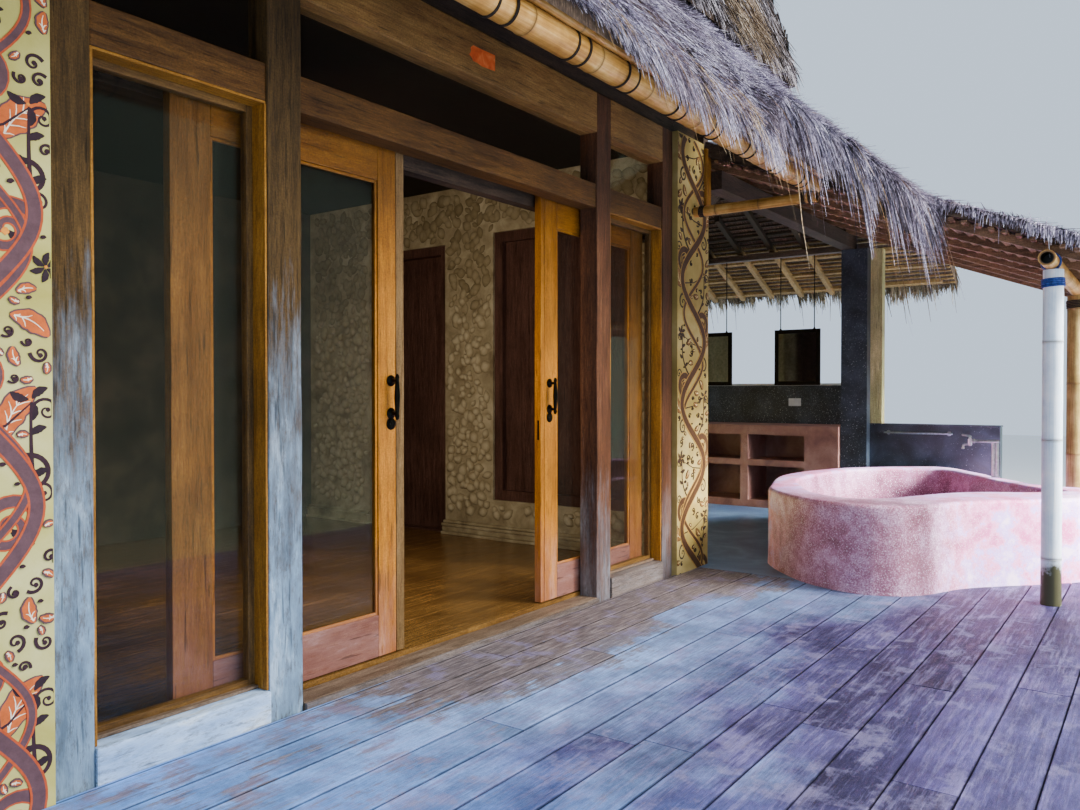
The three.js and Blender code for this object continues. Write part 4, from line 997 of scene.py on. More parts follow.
def buildLeaves():
    width, stile, near, far, foot, head, low, high = leafPlan.values()
    for side, lead, sign in (("left", -361, -1), ("right", 643, 1)):
        x0 = lead - width if sign < 0 else lead
        x1 = x0 + width
        body = side + "_leaf"
        # the meeting stile is a broad golden board with a narrow weathered strip on its edge
        strip = (x1 - 46, x1) if sign < 0 else (x0, x0 + 30)
        outer, meeting = (x0, x0 + stile), (x1 - stile, x1 - 49)
        if sign > 0:
            outer, meeting = (x1 - stile, x1), (x0 + 33, x0 + stile)
        members = [timber("stile", (*meeting, near, far, foot, head), "z", edge=4, wobble=0.6, lot=40.2 + sign),
                   timber("rail", (x0 + stile, x1 - stile, near, far, high, head), "x", edge=4, wobble=0.6,
                          lot=46.1 + sign)]
        for a in (x0 + stile, x1 - stile - 12):
            members.append(timber("bead", (a, a + 12, 128, 138, low, high), "z", edge=2, wobble=0, lot=52.2))
        for a in (low, high - 12):
            members.append(timber("bead", (x0 + stile + 12, x1 - stile - 12, 128, 138, a, a + 12), "x", edge=2,
                                  wobble=0, lot=53.1))
        tongue = (x1 - 50, x1 - 45) if sign < 0 else (x0 + 29, x0 + 34)
        members.append(timber("tongue", (*tongue, 128, 156, 46, 2189), "z", edge=0.5, wobble=0, lot=54.7))
        leaf = joined(side + "LeafJoinery", members)
        dress(leaf, "honey", [side + "_leaf_frame"], body)
        trailing = timber(side + "LeafTrailingStile", (*outer, near, far, foot, head), "z",
                          edge=4, wobble=0.6, lot=43.5 + sign)
        dress(trailing, "stile", [side + "_leaf_frame"], body)
        footRail = timber(side + "LeafFootRail", (x0 + stile, x1 - stile, near, far, foot, low), "x", edge=4,
                          wobble=0.6, lot=49.9 + sign)
        dress(footRail, "footRail", [side + "_leaf_frame"], body)
        batten = timber(side + "LeafStrip", (*strip, near, far, foot, head), "z", edge=3, wobble=0.6,
                        lot=56.3 + sign)
        dress(batten, "strip" if sign < 0 else "honey", [side + "_leaf_frame"], body)
        x = lead + sign * 78
        turned = []
        bar = [(1035, 4), (1042, 8), (1052, 10), (1058, 7), (1070, 9), (1100, 11), (1131, 12.5), (1162, 11),
               (1192, 9), (1204, 7), (1212, 10), (1221, 8), (1228, 4)]
        turned.append(tube("bar", [(x, 84, z) for z, r in bar], [r for z, r in bar], 16))
        for z in (1062, 1200):
            stem = [(122, 24), (119, 24), (117, 21), (115, 13), (110, 8), (95, 7), (84, 9)]
            turned.append(tube("stem", [(x, y, z) for y, r in stem], [r for y, r in stem], 20))
        rose = [(122, 26), (119, 26), (116, 22), (115, 14), (114, 12), (117, 7), (117, 2)]
        turned.append(tube("rose", [(x, y, 1018) for y, r in rose], [r for y, r in rose], 24))
        handle = joined(side + "LeafPull", turned)
        dress(handle, "iron", [side + "_leaf_handle"], body)
        wheels = [tube("wheel", [(wx, y, 58.5) for y in (135, 137, 147, 149)], [16, 18, 18, 16], 24)
                  for wx in (x0 + 130, x1 - 130)]
        dress(joined(side + "LeafWheels", wheels), "iron", [side + "_leaf_frame"], body)
    latch = timber("rightLeafLatch", (642.4, 646, 133, 145, 900, 1004), "z", edge=1, wobble=0)
    dress(latch, "iron", body="right_leaf")


raiseFront()
markHeadBeam()
fitWindows()
buildLeaves()
print("timber front ready")


# thatch

# along the eave and up the slope, for each way that a slope looks
compass = {"front": ((1, 0, 0), (0, 1, 0)), "back": ((-1, 0, 0), (0, -1, 0)), "left": ((0, -1, 0), (1, 0, 0)),
           "right": ((0, 1, 0), (-1, 0, 0))}


def even(height):
    return lambda e: np.full(np.shape(e), height)


def sideLine(start, slope=0, over=1):
    return lambda d: start + slope * d / over


def slabTop(low, rise):
    return lambda e, d: np.where(d >= 0, low + rise * d, low + 5.0 * d)


def strawField(name, spec, seed):
    # blades of grass laid down the slope: each starts in the thatch, follows its surface and lifts at the tip
    rng = np.random.default_rng(seed)
    origin = np.array(spec["origin"], float)
    along, inward = (np.array(way, float) for way in compass[spec["facing"]])
    surface, reach, left, right = spec["surface"], spec["reach"], spec["left"], spec["right"]
    lip = spec.get("floor", even(0.0))
    drop = spec.get("drop", even(120.0))
    steps = spec.get("steps", 2)
    count, fringe = spec["count"], spec["fringe"]
    d = rng.uniform(spec.get("low", 0.0), reach, count * 3)
    e = rng.uniform(spec["span"][0], spec["span"][1], count * 3)
    over = spec.get("over", 15)
    keep = (e > left(d) - over) & (e < right(d) + over) & (d > lip(e))
    d, e = d[keep][:count], e[keep][:count]
    ef = rng.uniform(spec["span"][0], spec["span"][1], fringe)
    df = lip(ef) + rng.uniform(0, 130, fringe)
    inside = (ef > left(df) - 20) & (ef < right(df) + 20)
    isFringe = np.append(np.zeros(len(d), bool), np.ones(inside.sum(), bool))
    d, e = np.append(d, df[inside]), np.append(e, ef[inside])
    n = len(d)
    # bundles about 60 mm wide share a tone and a lean
    wide = spec.get("bundle", 62.0)
    column = np.floor((e + 20 * np.sin(d * 0.011)) / wide).astype(np.int64)
    row = np.floor((d + 35 * np.sin(e * 0.017)) / (2.6 * wide)).astype(np.int64)
    bundle = (column * 7919 + row * 104729) % 100003
    share = rng.random((100003, 3))[bundle]
    lipNow = lip(e)
    slopeNow = np.sqrt(1 + ((surface(e, d + 1.0) - surface(e, d - 1.0)) / 2.0) ** 2)
    hang = drop(e) * np.where(isFringe, rng.beta(1.6, 1.6, n) * (0.55 + 0.6 * share[:, 0]),
                              rng.uniform(0, 0.35, n))
    long = rng.random(n) < spec.get("loose", 0.004)
    hang = np.where(long, drop(e) * rng.uniform(1.0, 1.7, n), hang)
    length = np.minimum(rng.uniform(*spec["length"], n), (d - lipNow) * slopeNow + hang)
    length = np.where(isFringe, (d - lipNow) * slopeNow + hang, length)
    length = np.maximum(length, 30.0)
    toLip, steep = (d - lipNow) * slopeNow, math.hypot(1, spec.get("steep", 7.0))
    width = rng.uniform(*spec["width"], n)
    yaw = rng.normal(0, spec.get("stray", 0.2), n) * np.where(isFringe, 0.6, 1.0) + 0.34 * (share[:, 1] - 0.5)
    lift = rng.uniform(*spec["lift"], n) * (0.55 + 0.9 * share[:, 2])
    lift = np.where(rng.random(n) < 0.04, lift * 1.8, lift)
    roll = rng.normal(0, 0.6, n)
    tone = rng.beta(1.25, 1.25, n) * 0.82 + 0.09 + 0.42 * (share[:, 0] - 0.5)
    tone = np.clip(tone + 0.1 * np.sin(e * 0.021 + 3 * np.sin(d * 0.004)) * np.sin(d * 0.013 + e * 0.002), 0, 1)
    # painted shade: the blades of the hanging fringe are darkened by this share
    tone = np.where(isFringe, tone * spec.get("fringeShade", 1.0), tone)
    hue = rng.random(n)
    points = np.empty((n, steps + 1, 2, 3))
    straw = np.empty((n, steps + 1, 2, 3))
    cd, ce = d.copy(), e.copy()
    for k in range(steps + 1):
        t = k / steps
        z = surface(ce, cd)
        g = (surface(ce, cd + 1.0) - surface(ce, cd - 1.0)) / 2.0
        norm = np.sqrt(1 + g * g)
        out = -6 + (lift + 6) * t ** 1.4
        centre = (origin + ce[:, None] * along + cd[:, None] * inward)
        centre[:, 2] += z
        normal = -inward[None, :] * (g / norm)[:, None]
        normal[:, 2] += 1 / norm
        centre = centre + normal * np.asarray(out)[:, None]
        half = width * (1.0, 0.95, 0.75, 0.2)[min(3, int(round(t * 3)))] / 2
        across = along[None, :] * np.cos(roll)[:, None] + normal * np.sin(roll)[:, None]
        points[:, k, 0] = centre - across * half[:, None]
        points[:, k, 1] = centre + across * half[:, None]
        # painted shade: each blade is half as bright at its root, deep in the thatch, as at its tip
        straw[:, k, :, 0] = (tone * (0.5 + 0.5 * t))[:, None]
        straw[:, k, :, 1] = hue[:, None]
        straw[:, k, :, 2] = t
        gone = length * (k + 1) / steps
        beyond = np.maximum(gone - toLip, 0)
        cd = d - (gone - beyond) / slopeNow * np.cos(yaw) - beyond / steep
        ce = e + (gone - 0.7 * beyond) * np.sin(yaw)
    index = np.arange(n * (steps + 1) * 2).reshape(n, steps + 1, 2)
    quads = np.stack([index[:, :-1, 0], index[:, :-1, 1], index[:, 1:, 1], index[:, 1:, 0]],
                     axis=-1).reshape(-1, 4)
    return meshOf(name, metres(points.reshape(-1, 3)), quads, {"straw": straw.reshape(-1, 3)})


def eaveProfile(low, rise, thick, lip, turn, hang=7.0):
    def height(e, d):
        top = np.minimum(low + rise * d + thick, low + lip + rise * turn * d)
        return np.where(d >= 0, top, low + lip + hang * d)
    return height


def eaveDrop(e):
    # how far the straw hangs under the lip (mm): cut short at the left end, longer towards the bath bay
    return np.interp(e, (-3100, -900, -625, -379, -8, 441, 1350, 1550, 2418),
                     (10, 15, 50, 90, 225, 275, 255, 60, 60))


lowEave = 3333 - 900
lowSlope = eaveProfile(lowEave, 1, 290, 70, 1.9)


def cornerSurface(e, d):
    # the corner swells out of the front slope over 320 mm
    lip = -0.65 * np.maximum(e - 1400, 0) - 5
    roll = np.where(d >= lip, 2706 + 0.87 * d, 2706 + 0.87 * lip + 7.0 * (d - lip))
    slope = lowSlope(e, d)
    swell = np.clip((e - 1080) / 320, 0, 1)
    return swell * np.where(d >= 0, np.maximum(roll, slope), roll) + (1 - swell) * slope


thatchPlan = {
    "frontStraw": dict(origin=(0, -880.3, 0), facing="front", reach=900, span=(-3100, 2285),
                       left=sideLine(-3100.3, 1), right=sideLine(2285), count=36000, fringe=12000, loose=0.0008,
                       length=(75, 180), width=(3.5, 7.5), lift=(8, 44), stray=0.33, fringeShade=0.86, seed=1,
                       drop=eaveDrop, material="thatch", surface=lowSlope),
    "leftStraw": dict(origin=(-3100.3, 0, 0), facing="left", reach=900, span=(-4800, 880),
                      left=sideLine(-4800.3, 1), right=sideLine(880.3, -1), count=10000, fringe=2000, steps=1,
                      length=(220, 380), width=(10, 18), lift=(24, 56), over=70, seed=2, material="sideThatch",
                      surface=lowSlope),
    "backStraw": dict(origin=(0, 4800.3, 0), facing="back", reach=900, span=(-3160, 3100),
                      left=sideLine(-3160.3, 1), right=sideLine(3100.3, -1), count=10500, fringe=2000, steps=1,
                      length=(220, 380), width=(10, 18), lift=(24, 56), over=70, seed=3, material="sideThatch",
                      surface=lowSlope),
    "rightStraw": dict(origin=(3160.3, 0, 0), facing="right", reach=900, span=(2420, 4800), left=sideLine(2420),
                       right=sideLine(4800.3, -1), count=6000, fringe=1600, length=(220, 380), width=(10, 18),
                       lift=(24, 56), seed=4, material="sideThatch", surface=lowSlope),
    "cornerStraw": dict(origin=(0, -880.6, 0), facing="front", reach=270, low=-575, span=(1080, 2290),
                        left=sideLine(1080), right=sideLine(2285), count=17000, fringe=6000, length=(80, 180),
                        width=(3.5, 7.5), lift=(8, 40), stray=0.3, fringeShade=0.74, seed=5,
                        drop=lambda e: np.interp(e, (1080, 1400, 1842, 2285), (230, 400, 385, 380)),
                        material="thatch", floor=lambda e: -0.65 * np.maximum(e - 1400, 0), loose=0.002,
                        surface=cornerSurface),
    "eaveWisps": dict(origin=(0, -880.3, 0), facing="front", reach=60, span=(-900, 1400), left=sideLine(-900),
                      right=sideLine(1400), count=60, fringe=520, steps=3, length=(120, 260), width=(3, 5),
                      lift=(12, 60), stray=0.35, loose=0.05, seed=18, drop=lambda e: 0.9 * eaveDrop(e),
                      material="straw", surface=lowSlope),
    "looseStraws": dict(origin=(0, -880.6, 0), facing="front", reach=160, low=-575, span=(1250, 2290),
                        left=sideLine(1250), right=sideLine(2285), count=20, fringe=90, steps=3,
                        length=(200, 400), width=(3, 5), lift=(20, 70), seed=15, loose=0.5, drop=even(420.0),
                        material="straw", floor=lambda e: -0.65 * np.maximum(e - 1400, 0),
                        surface=cornerSurface),
    "tanBundles": dict(origin=(0, -480, 0), facing="front", reach=420, span=(1500, 2300), left=sideLine(1500),
                       right=sideLine(2300, -1, 1.5), count=260, fringe=420, steps=3, length=(260, 480),
                       width=(4, 8), lift=(20, 80), seed=16, bundle=110.0, drop=even(300.0), material="bundle",
                       surface=eaveProfile(3210, 1.4, 400, 90, 2.3, 6.0)),
    "upperFrontStraw": dict(origin=(0, -478, 0), facing="front", reach=2428, span=(-2678, 2738),
                            left=sideLine(-2678, 1, 1.5), right=sideLine(2738, -1, 1.5), count=16500,
                            fringe=4000, length=(170, 340), width=(7, 13), lift=(8, 48), stray=0.28, over=60,
                            seed=6, material="upperThatch", bundle=90.0, drop=even(230.0),
                            surface=eaveProfile(3210, 1.4, 400, 90, 2.3, 6.0)),
    "upperRightStraw": dict(origin=(2738, 0, 0), facing="right", reach=1619, span=(-478, 4378),
                            left=sideLine(-478, 1.5), right=sideLine(4378, -1.5), count=10500, fringe=2500,
                            length=(260, 460), width=(11, 20), lift=(10, 42), over=50, seed=7,
                            material="upperThatch", bundle=90.0, drop=even(230.0),
                            surface=eaveProfile(3210, 2.1, 400, 90, 2.3, 8.0)),
    "upperBackStraw": dict(origin=(0, 4378, 0), facing="back", reach=2428, span=(-2738, 2678),
                           left=sideLine(-2738, 1, 1.5), right=sideLine(2678, -1, 1.5), count=13000,
                           fringe=2500, steps=1, length=(260, 460), width=(12, 22), lift=(24, 60), over=70,
                           seed=8, material="upperThatch", bundle=90.0,
                           surface=eaveProfile(3210, 1.4, 400, 90, 2.3, 6.0)),
    "upperLeftStraw": dict(origin=(-2678, 0, 0), facing="left", reach=1619, span=(-4378, 478),
                           left=sideLine(-4378, 1.5), right=sideLine(478, -1.5), count=10000, fringe=2000,
                           steps=1, length=(260, 460), width=(12, 22), lift=(24, 60), over=70, seed=9,
                           material="upperThatch", bundle=90.0,
                           surface=eaveProfile(3210, 2.1, 400, 90, 2.3, 8.0)),
    "leanToStraw": dict(origin=(0, -2446, 0), facing="front", reach=3246, span=(2290, 5950),
                        left=sideLine(2290), right=lambda d: np.minimum(5950, 5950 - (d - 1633) * 0.884),
                        count=15000, fringe=4000, length=(130, 270), width=(5, 10), lift=(6, 36), stray=0.3,
                        over=60, seed=10, drop=even(110.0), material="thatch", surface=slabTop(1860.5, 0.3954)),
    "vergeStraw": dict(origin=(2290, 0, 0), facing="left", reach=110, span=(900, 2460), left=sideLine(900),
                       right=sideLine(2460), count=1000, fringe=2300, length=(90, 220), width=(5, 11),
                       lift=(5, 30), seed=11, drop=even(150.0), material="thatch",
                       surface=lambda e, d: 1860.5 + 0.3954 * (2446 - e) + np.minimum(5.0 * d, 0)),
    "bathRightStraw": dict(origin=(6400, 0, 0), facing="right", reach=1876, span=(-813, 2300),
                           left=lambda d: np.maximum(-813, -813 + (d - 450) * 1.1316),
                           right=lambda d: np.minimum(2300, 2300 - (d - 549) * 1.1316), count=8500, fringe=6000,
                           steps=1, length=(260, 460), width=(10, 18), lift=(5, 20), over=60, seed=12,
                           material="tanThatch", drop=even(400.0), surface=slabTop(2337.3, 0.43)),
    "bathBackStraw": dict(origin=(0, 2300, 0), facing="back", reach=1500, span=(-5850, -2290),
                          left=sideLine(-5850, 0.8837), right=sideLine(-2290), count=7500, fringe=3500, steps=1,
                          length=(260, 460), width=(10, 18), lift=(5, 20), over=60, seed=13,
                          material="tanThatch", drop=even(380.0), surface=slabTop(2574, 0.38)),
}


def ridgeTop(e):
    return 7129 + 190 * ((e - 30) / 1249) ** 2


def ridgeFace(e, d):
    # the skirt of the ridge roll, then its crown
    crest = ridgeTop(e)
    return np.where(d < 90, 6640 + (crest - 6640) / 90 * d, crest + 0.24 * (d - 90))


for side, y, turn in (("Front", 1585, 1), ("Back", 2315, -1)):
    thatchPlan["ridge" + side + "Straw"] = dict(
        origin=(0, y, 0), facing=side.lower(), reach=372, span=sorted((-1235 * turn, 1295 * turn)),
        left=sideLine(-1300), right=sideLine(1300), count=1500, fringe=700, length=(200, 360),
        width=(9, 17), lift=(6, 40), seed=17 + turn, material="upperThatch", drop=even(200.0),
        surface=ridgeFace if turn > 0 else (lambda e, d: ridgeFace(-e, d)))
for side, x, turn in (("Right", 1365, 1), ("Left", -1305, -1)):
    thatchPlan["ridge" + side + "Straw"] = dict(
        origin=(x, 1950, 0), facing=side.lower(), reach=200, span=(-285, 285),
        left=sideLine(-285), right=sideLine(285), count=420, fringe=260, length=(200, 360),
        width=(9, 17), lift=(6, 40), seed=21 + turn, material="upperThatch", drop=even(200.0),
        surface=lambda e, d: np.where(d < 90, 6640 + 7.54 * d, 7319 + 0.1 * (d - 90)))


def layThatch():
    total = 0
    for name, spec in thatchPlan.items():
        piece = strawField(name, spec, spec["seed"])
        dress(piece, spec["material"])
        total += len(piece.data.polygons) * 2
    return total


print("thatch triangles:", layThatch())


# bamboo poles and cord

poleCords = (-2840, -2440, -2040, -1640, -1240, -833, -397, -38, 390, 755, 1170, 1560, 1960)


# the bath roof: its laths fall from a ridge, then from a hip that starts at hipX
leanToPlan = {"under": 3034, "rise": 0.38, "ridge": 800, "rafter": 60, "purlinY": -2018, "purlinR": 44,
              "hipX": 4524, "hipRun": 0.8837, "sideRise": 0.43, "sideRun": 1.1316, "lath": 28, "pitch": 68}


def setPoles():
    pole = culm("eavePole", (-2960, -774, 2410), (2240, -774, 2410), 57, 430, 28, 0.8, 3)
    dress(pole, "bamboo", ["eave_pole"])
    batten = culm("eaveBatten", (-2940, -825.6, 2461.6), (2230, -825.6, 2461.6), 18, 330, 12, 0.7, 4)
    dress(batten, "bamboo", ["eave_pole"])
    turns = []
    for i, x in enumerate(poleCords):
        shake = 6 * math.sin(i * 2.3)
        for offset in (-42 + shake, -36 + shake, 38, 44):
            turns.append(windings("turn", (x, -774, 2410), (1, 0.06 * math.sin(i), 0), 56.5, 3.2, [offset], 6))
    dress(joined("poleLashings", turns), "cordage")
    wall = frontPlan["wall"] - seat
    for node, x, seed in (("eave_strut_left", -2070, 5), ("eave_strut_right", 2130, 6)):
        name = node.replace("eave_strut_", "strut")
        strut = culm(name + "Culm", (x, wall, 2319), (x, -834, 2319), 34, 300, 20, 0.75, seed)
        dress(strut, "bamboo", [node])
        wrap = [windings("turn", (x, -774, 2319), (0, 1, 0), 34, 3.4, [-30, -22, -14, 14, 22, 30], 6),
                windings("turn", (x, wall - 60, 2319), (0, 1, 0.1), 34, 4, [-9, 0, 9, 18], 6)]
        dress(joined(name + "Lashing", wrap), "cordage")
    y, r = leanToPlan["purlinY"], leanToPlan["purlinR"]
    under = leanToPlan["under"] - leanToPlan["rise"] * (leanToPlan["ridge"] - y)
    z = under - leanToPlan["rafter"] - seat - r * math.hypot(1, leanToPlan["rise"])
    top = z - r - seat
    purlin = culm("leanToPurlin", (5900, y, z), (2200, y, z), r, 420, 24, 0.72, 7)
    dress(purlin, "bamboo", ["lean_to_purlin"])
    dress(culm("bleachedPost", (2389, y - 12, 0), (2389, y - 12, top), 52, 560, 24, 0.8, 8), "paleBamboo",
          ["bamboo_post_left"])
    for node, x, radius, seed in (("bamboo_post_middle", 3935, 56, 9), ("bamboo_post_right", 5470, 50, 10)):
        post = culm(node.replace("bamboo_post_", "goldenPost"), (x, y, 0), (x, y, top), radius, 470, 24, 0.8,
                    seed)
        dress(post, "shadeDarkBamboo", [node])
        wrap = windings(node.replace("bamboo_post_", "postCord"), (x, y, top - 60), (0, 0.05, 1), radius, 5,
                        [-20, -9, 2, 13, 24], 6)
        dress(wrap, "cordage")
    rope = [windings("turn", (2389, y - 12, top - 74), (0.02, 0.05, 1), 52.5, 6, [-13, -1, 11, 22], 8),
            windings("turn", (2389, y, z), (1, 0.1, 0), r + 1, 6, [-18, -6, 6, 18], 8)]
    dress(joined("postRope", rope), "rope")


# carved wall and painted walls

carvedPlan = {"face": 2084.9, "window": (420, 1614, 335, 2360), "door": (2099, 2950, -40, 2315), "pitch": 66}


def carveWall(name, spot, width, height, pitch, holes, seed, strong):
    # small leaf and shell shaped lumps pressed into the plaster, each turned its own way
    rng = np.random.default_rng(seed)
    us, vs = np.linspace(-1, 1, 6), np.linspace(0, 1, 7)
    shape = []
    for v in vs:
        reach = math.sin(math.pi * min(max(v, 0.02), 0.98)) ** 0.7
        for u in us:
            dome = (1 - u * u) * math.sin(math.pi * min(max(v, 0.03), 0.97)) ** 0.6
            shape.append((u * reach, v - 0.5, dome * (0.72 + 0.28 * abs(u) ** 0.5) - 0.25))
    shape = np.array(shape)
    quads = np.array([(j * 6 + i, j * 6 + i + 1, (j + 1) * 6 + i + 1, (j + 1) * 6 + i) for j in range(6)
                      for i in range(5)])
    points, faces, crests = [], [], []
    across, up = int(width[1] - width[0]) // pitch, int(height[1] - height[0]) // pitch
    for a in range(across):
        for b in range(up):
            y = width[0] + (a + 0.5 + rng.uniform(-0.55, 0.55)) * pitch
            z = height[0] + (b + 0.5 + rng.uniform(-0.55, 0.55)) * pitch
            size = rng.uniform(62, 128)
            margin = size * 0.35 + 12
            if any(h[0] - margin < y < h[1] + margin and h[2] - margin < z < h[3] + margin for h in holes):
                continue
            if not (width[0] + margin < y < width[1] - margin and height[0] + margin < z < height[1] - margin):
                continue
            turn = rng.uniform(0, 2 * math.pi)
            bold = strong(z) * rng.uniform(0.8, 1.6)
            local = shape * np.array([size * rng.uniform(0.32, 0.5), size, bold])
            c, k = math.cos(turn), math.sin(turn)
            flat = np.stack([local[:, 0] * c - local[:, 1] * k, local[:, 0] * k + local[:, 1] * c, local[:, 2]],
                            1)
            faces.append(quads + len(points) * len(shape))
            # each point's paleness grows with its height on the lump and the lump's boldness, as painted light
            # and shade
            crests.append((shape[:, 2] + 0.25) * min(1, bold / 24))
            points.append(spot(y + flat[:, 0], z + flat[:, 1], flat[:, 2]))
    return meshOf(name, metres(np.concatenate(points)), np.concatenate(faces),
                  {"crest": np.concatenate(crests)}, smooth=True)


def finishCarving():
    plan = carvedPlan
    lumps = carveWall("carvedLeaves", lambda y, z, h: np.stack([plan["face"] - h, y, z], 1), (260, 3700),
                      (170, 2735), plan["pitch"], [plan["window"], plan["door"]], 31,
                      lambda z: 27 if z < 1500 else 27 - 17 * min(1, (z - 1500) / 500))
    dress(lumps, "lumps")
    mould = []
    for y0, y1 in ((115, 2098), (2951, 3724)):
        for z0, z1, out in ((40, 62, 62), (62, 104, 44), (104, 126, 54), (126, 146, 30)):
            mould.append(timber("mould", (2084.6 - out, 2084.6, y0, y1, z0, z1), "y", edge=6, wobble=1.5,
                                lot=z0))
    dress(joined("carvedWallBase", mould), "relief")


# colours of the two painted walls: the west one plum and orange on cream, the east one brown on old gold
muralPlan = {
    "west": {"stem": "#5f4448", "edge": "#b9502a", "curl": "#3a242c", "leaf": "#c9622c", "vein": "#f6ecd0",
             "petal": "#33242a", "bud": "#e08a2e"},
    "east": {"stem": "#4c3320", "edge": "#a8803c", "curl": "#35241a", "leaf": "#7a5226", "vein": "#d8c48a",
             "petal": "#3a281c", "bud": "#9c6a2c"},
}


class Brush:
    def __init__(self, x0, x1, z0, z1, tones):
        self.x0, self.x1, self.z0, self.z1, self.tones = x0, x1, z0, z1, tones
        self.points, self.faces, self.colours, self.marks, self.strokes = [], [], [], [], 0
        self.known = np.zeros((0, 3))

    def stroke(self, path, widths, tone):
        # each stroke lies a hair over the one before it
        path = np.asarray(path, float)
        widths = np.broadcast_to(np.asarray(widths, float), (len(path),))
        run = np.gradient(path, axis=0)
        run /= np.linalg.norm(run, axis=1)[:, None] + 1e-9
        side = np.stack([-run[:, 1], run[:, 0]], 1) * widths[:, None] / 2
        self.strokes += 1
        self.marks += [(x, z, w / 2) for (x, z), w in zip(path, widths)]
        back = frontPlan["wall"] + 1.0
        front = frontPlan["wall"] - 0.4 - 0.008 * self.strokes
        base = len(self.points)
        for left, right in zip(path + side, path - side):
            left = (min(max(left[0], self.x0), self.x1), min(max(left[1], self.z0), self.z1))
            right = (min(max(right[0], self.x0), self.x1), min(max(right[1], self.z0), self.z1))
            self.points += [(left[0], back, left[1]), (right[0], back, right[1]), (right[0], front, right[1]),
                            (left[0], front, left[1])]
        self.faces += [tuple(v + base for v in face) for face in roundFaces(len(path), 4)]
        self.colours += [linear(self.tones[tone])] * (4 * len(path))

    def room(self, x, z):
        # how far a spot is from the nearest paint or edge
        if len(self.known) != len(self.marks):
            self.known = np.array(self.marks)
        marks = self.known
        free = np.min(np.hypot(marks[:, 0] - x, marks[:, 1] - z) - marks[:, 2])
        return min(free, x - self.x0 + 30, self.x1 - x + 30)

    def edged(self, path, widths, rim=9):
        widths = np.broadcast_to(np.asarray(widths, float), (len(path),))
        self.stroke(path, widths + rim, "edge")
        self.stroke(path, widths, "stem")

    def leaf(self, foot, turn, length, width, tone, veins=4):
        t = np.linspace(0, 1, 13)
        axis = np.array([math.cos(turn), math.sin(turn)])
        side = np.array([-axis[1], axis[0]])
        path = np.array(foot) + np.outer(t * length, axis) + np.outer(0.12 * length * np.sin(math.pi * t), side)
        swell = width * np.sin(math.pi * np.clip(t, 0.01, 0.99)) ** 0.75 * (1 + 0.08 * np.sin(22 * t))
        if veins:
            self.stroke(path, swell + 9, "stem")
        self.stroke(path, swell, tone)
        if veins:
            self.stroke(path[1:-2], np.linspace(4.5, 1.5, 10), "vein")
        for i in range(veins):
            root = path[1 + 2 * i]
            for sign in (-1, 1):
                tip = root + axis * swell[2 + 2 * i] * 0.4 + sign * side * swell[2 + 2 * i] * 0.36
                self.stroke([root, (root + tip) / 2 + axis * 3, tip], [3.2, 2.6, 1.2], "vein")

    def volute(self, foot, turn, size, hand, widths, edged=False, turns=1.35, count=34):
        t = np.linspace(0, 1, count)
        radius = size * (1 - 0.88 * t ** 0.8)
        start = turn - hand * math.pi / 2
        angle = start + hand * 2 * math.pi * turns * t
        centre = np.array(foot) - size * np.array([math.cos(start), math.sin(start)])
        path = centre + np.stack([radius * np.cos(angle), radius * np.sin(angle)], 1)
        if edged:
            self.edged(path, np.linspace(widths[0], widths[1], count))
        else:
            self.stroke(path, np.linspace(widths[0], widths[1], count), "curl")
        length, width, tone = (20, 22, "bud") if edged else (12, 14, "curl")
        self.leaf(path[-1] - 4, 0.0, length, width, tone, 0)

    def flower(self, heart, size, petals):
        for i in range(petals):
            turn = 2 * math.pi * (i + 0.3) / petals
            start = np.array(heart) + 5 * np.array([math.cos(turn), math.sin(turn)])
            self.leaf(start, turn, size, size * 0.46, "petal", 0)
        self.leaf(np.array(heart) - (4, 0), 0.0, 9, 9, "bud", 0)


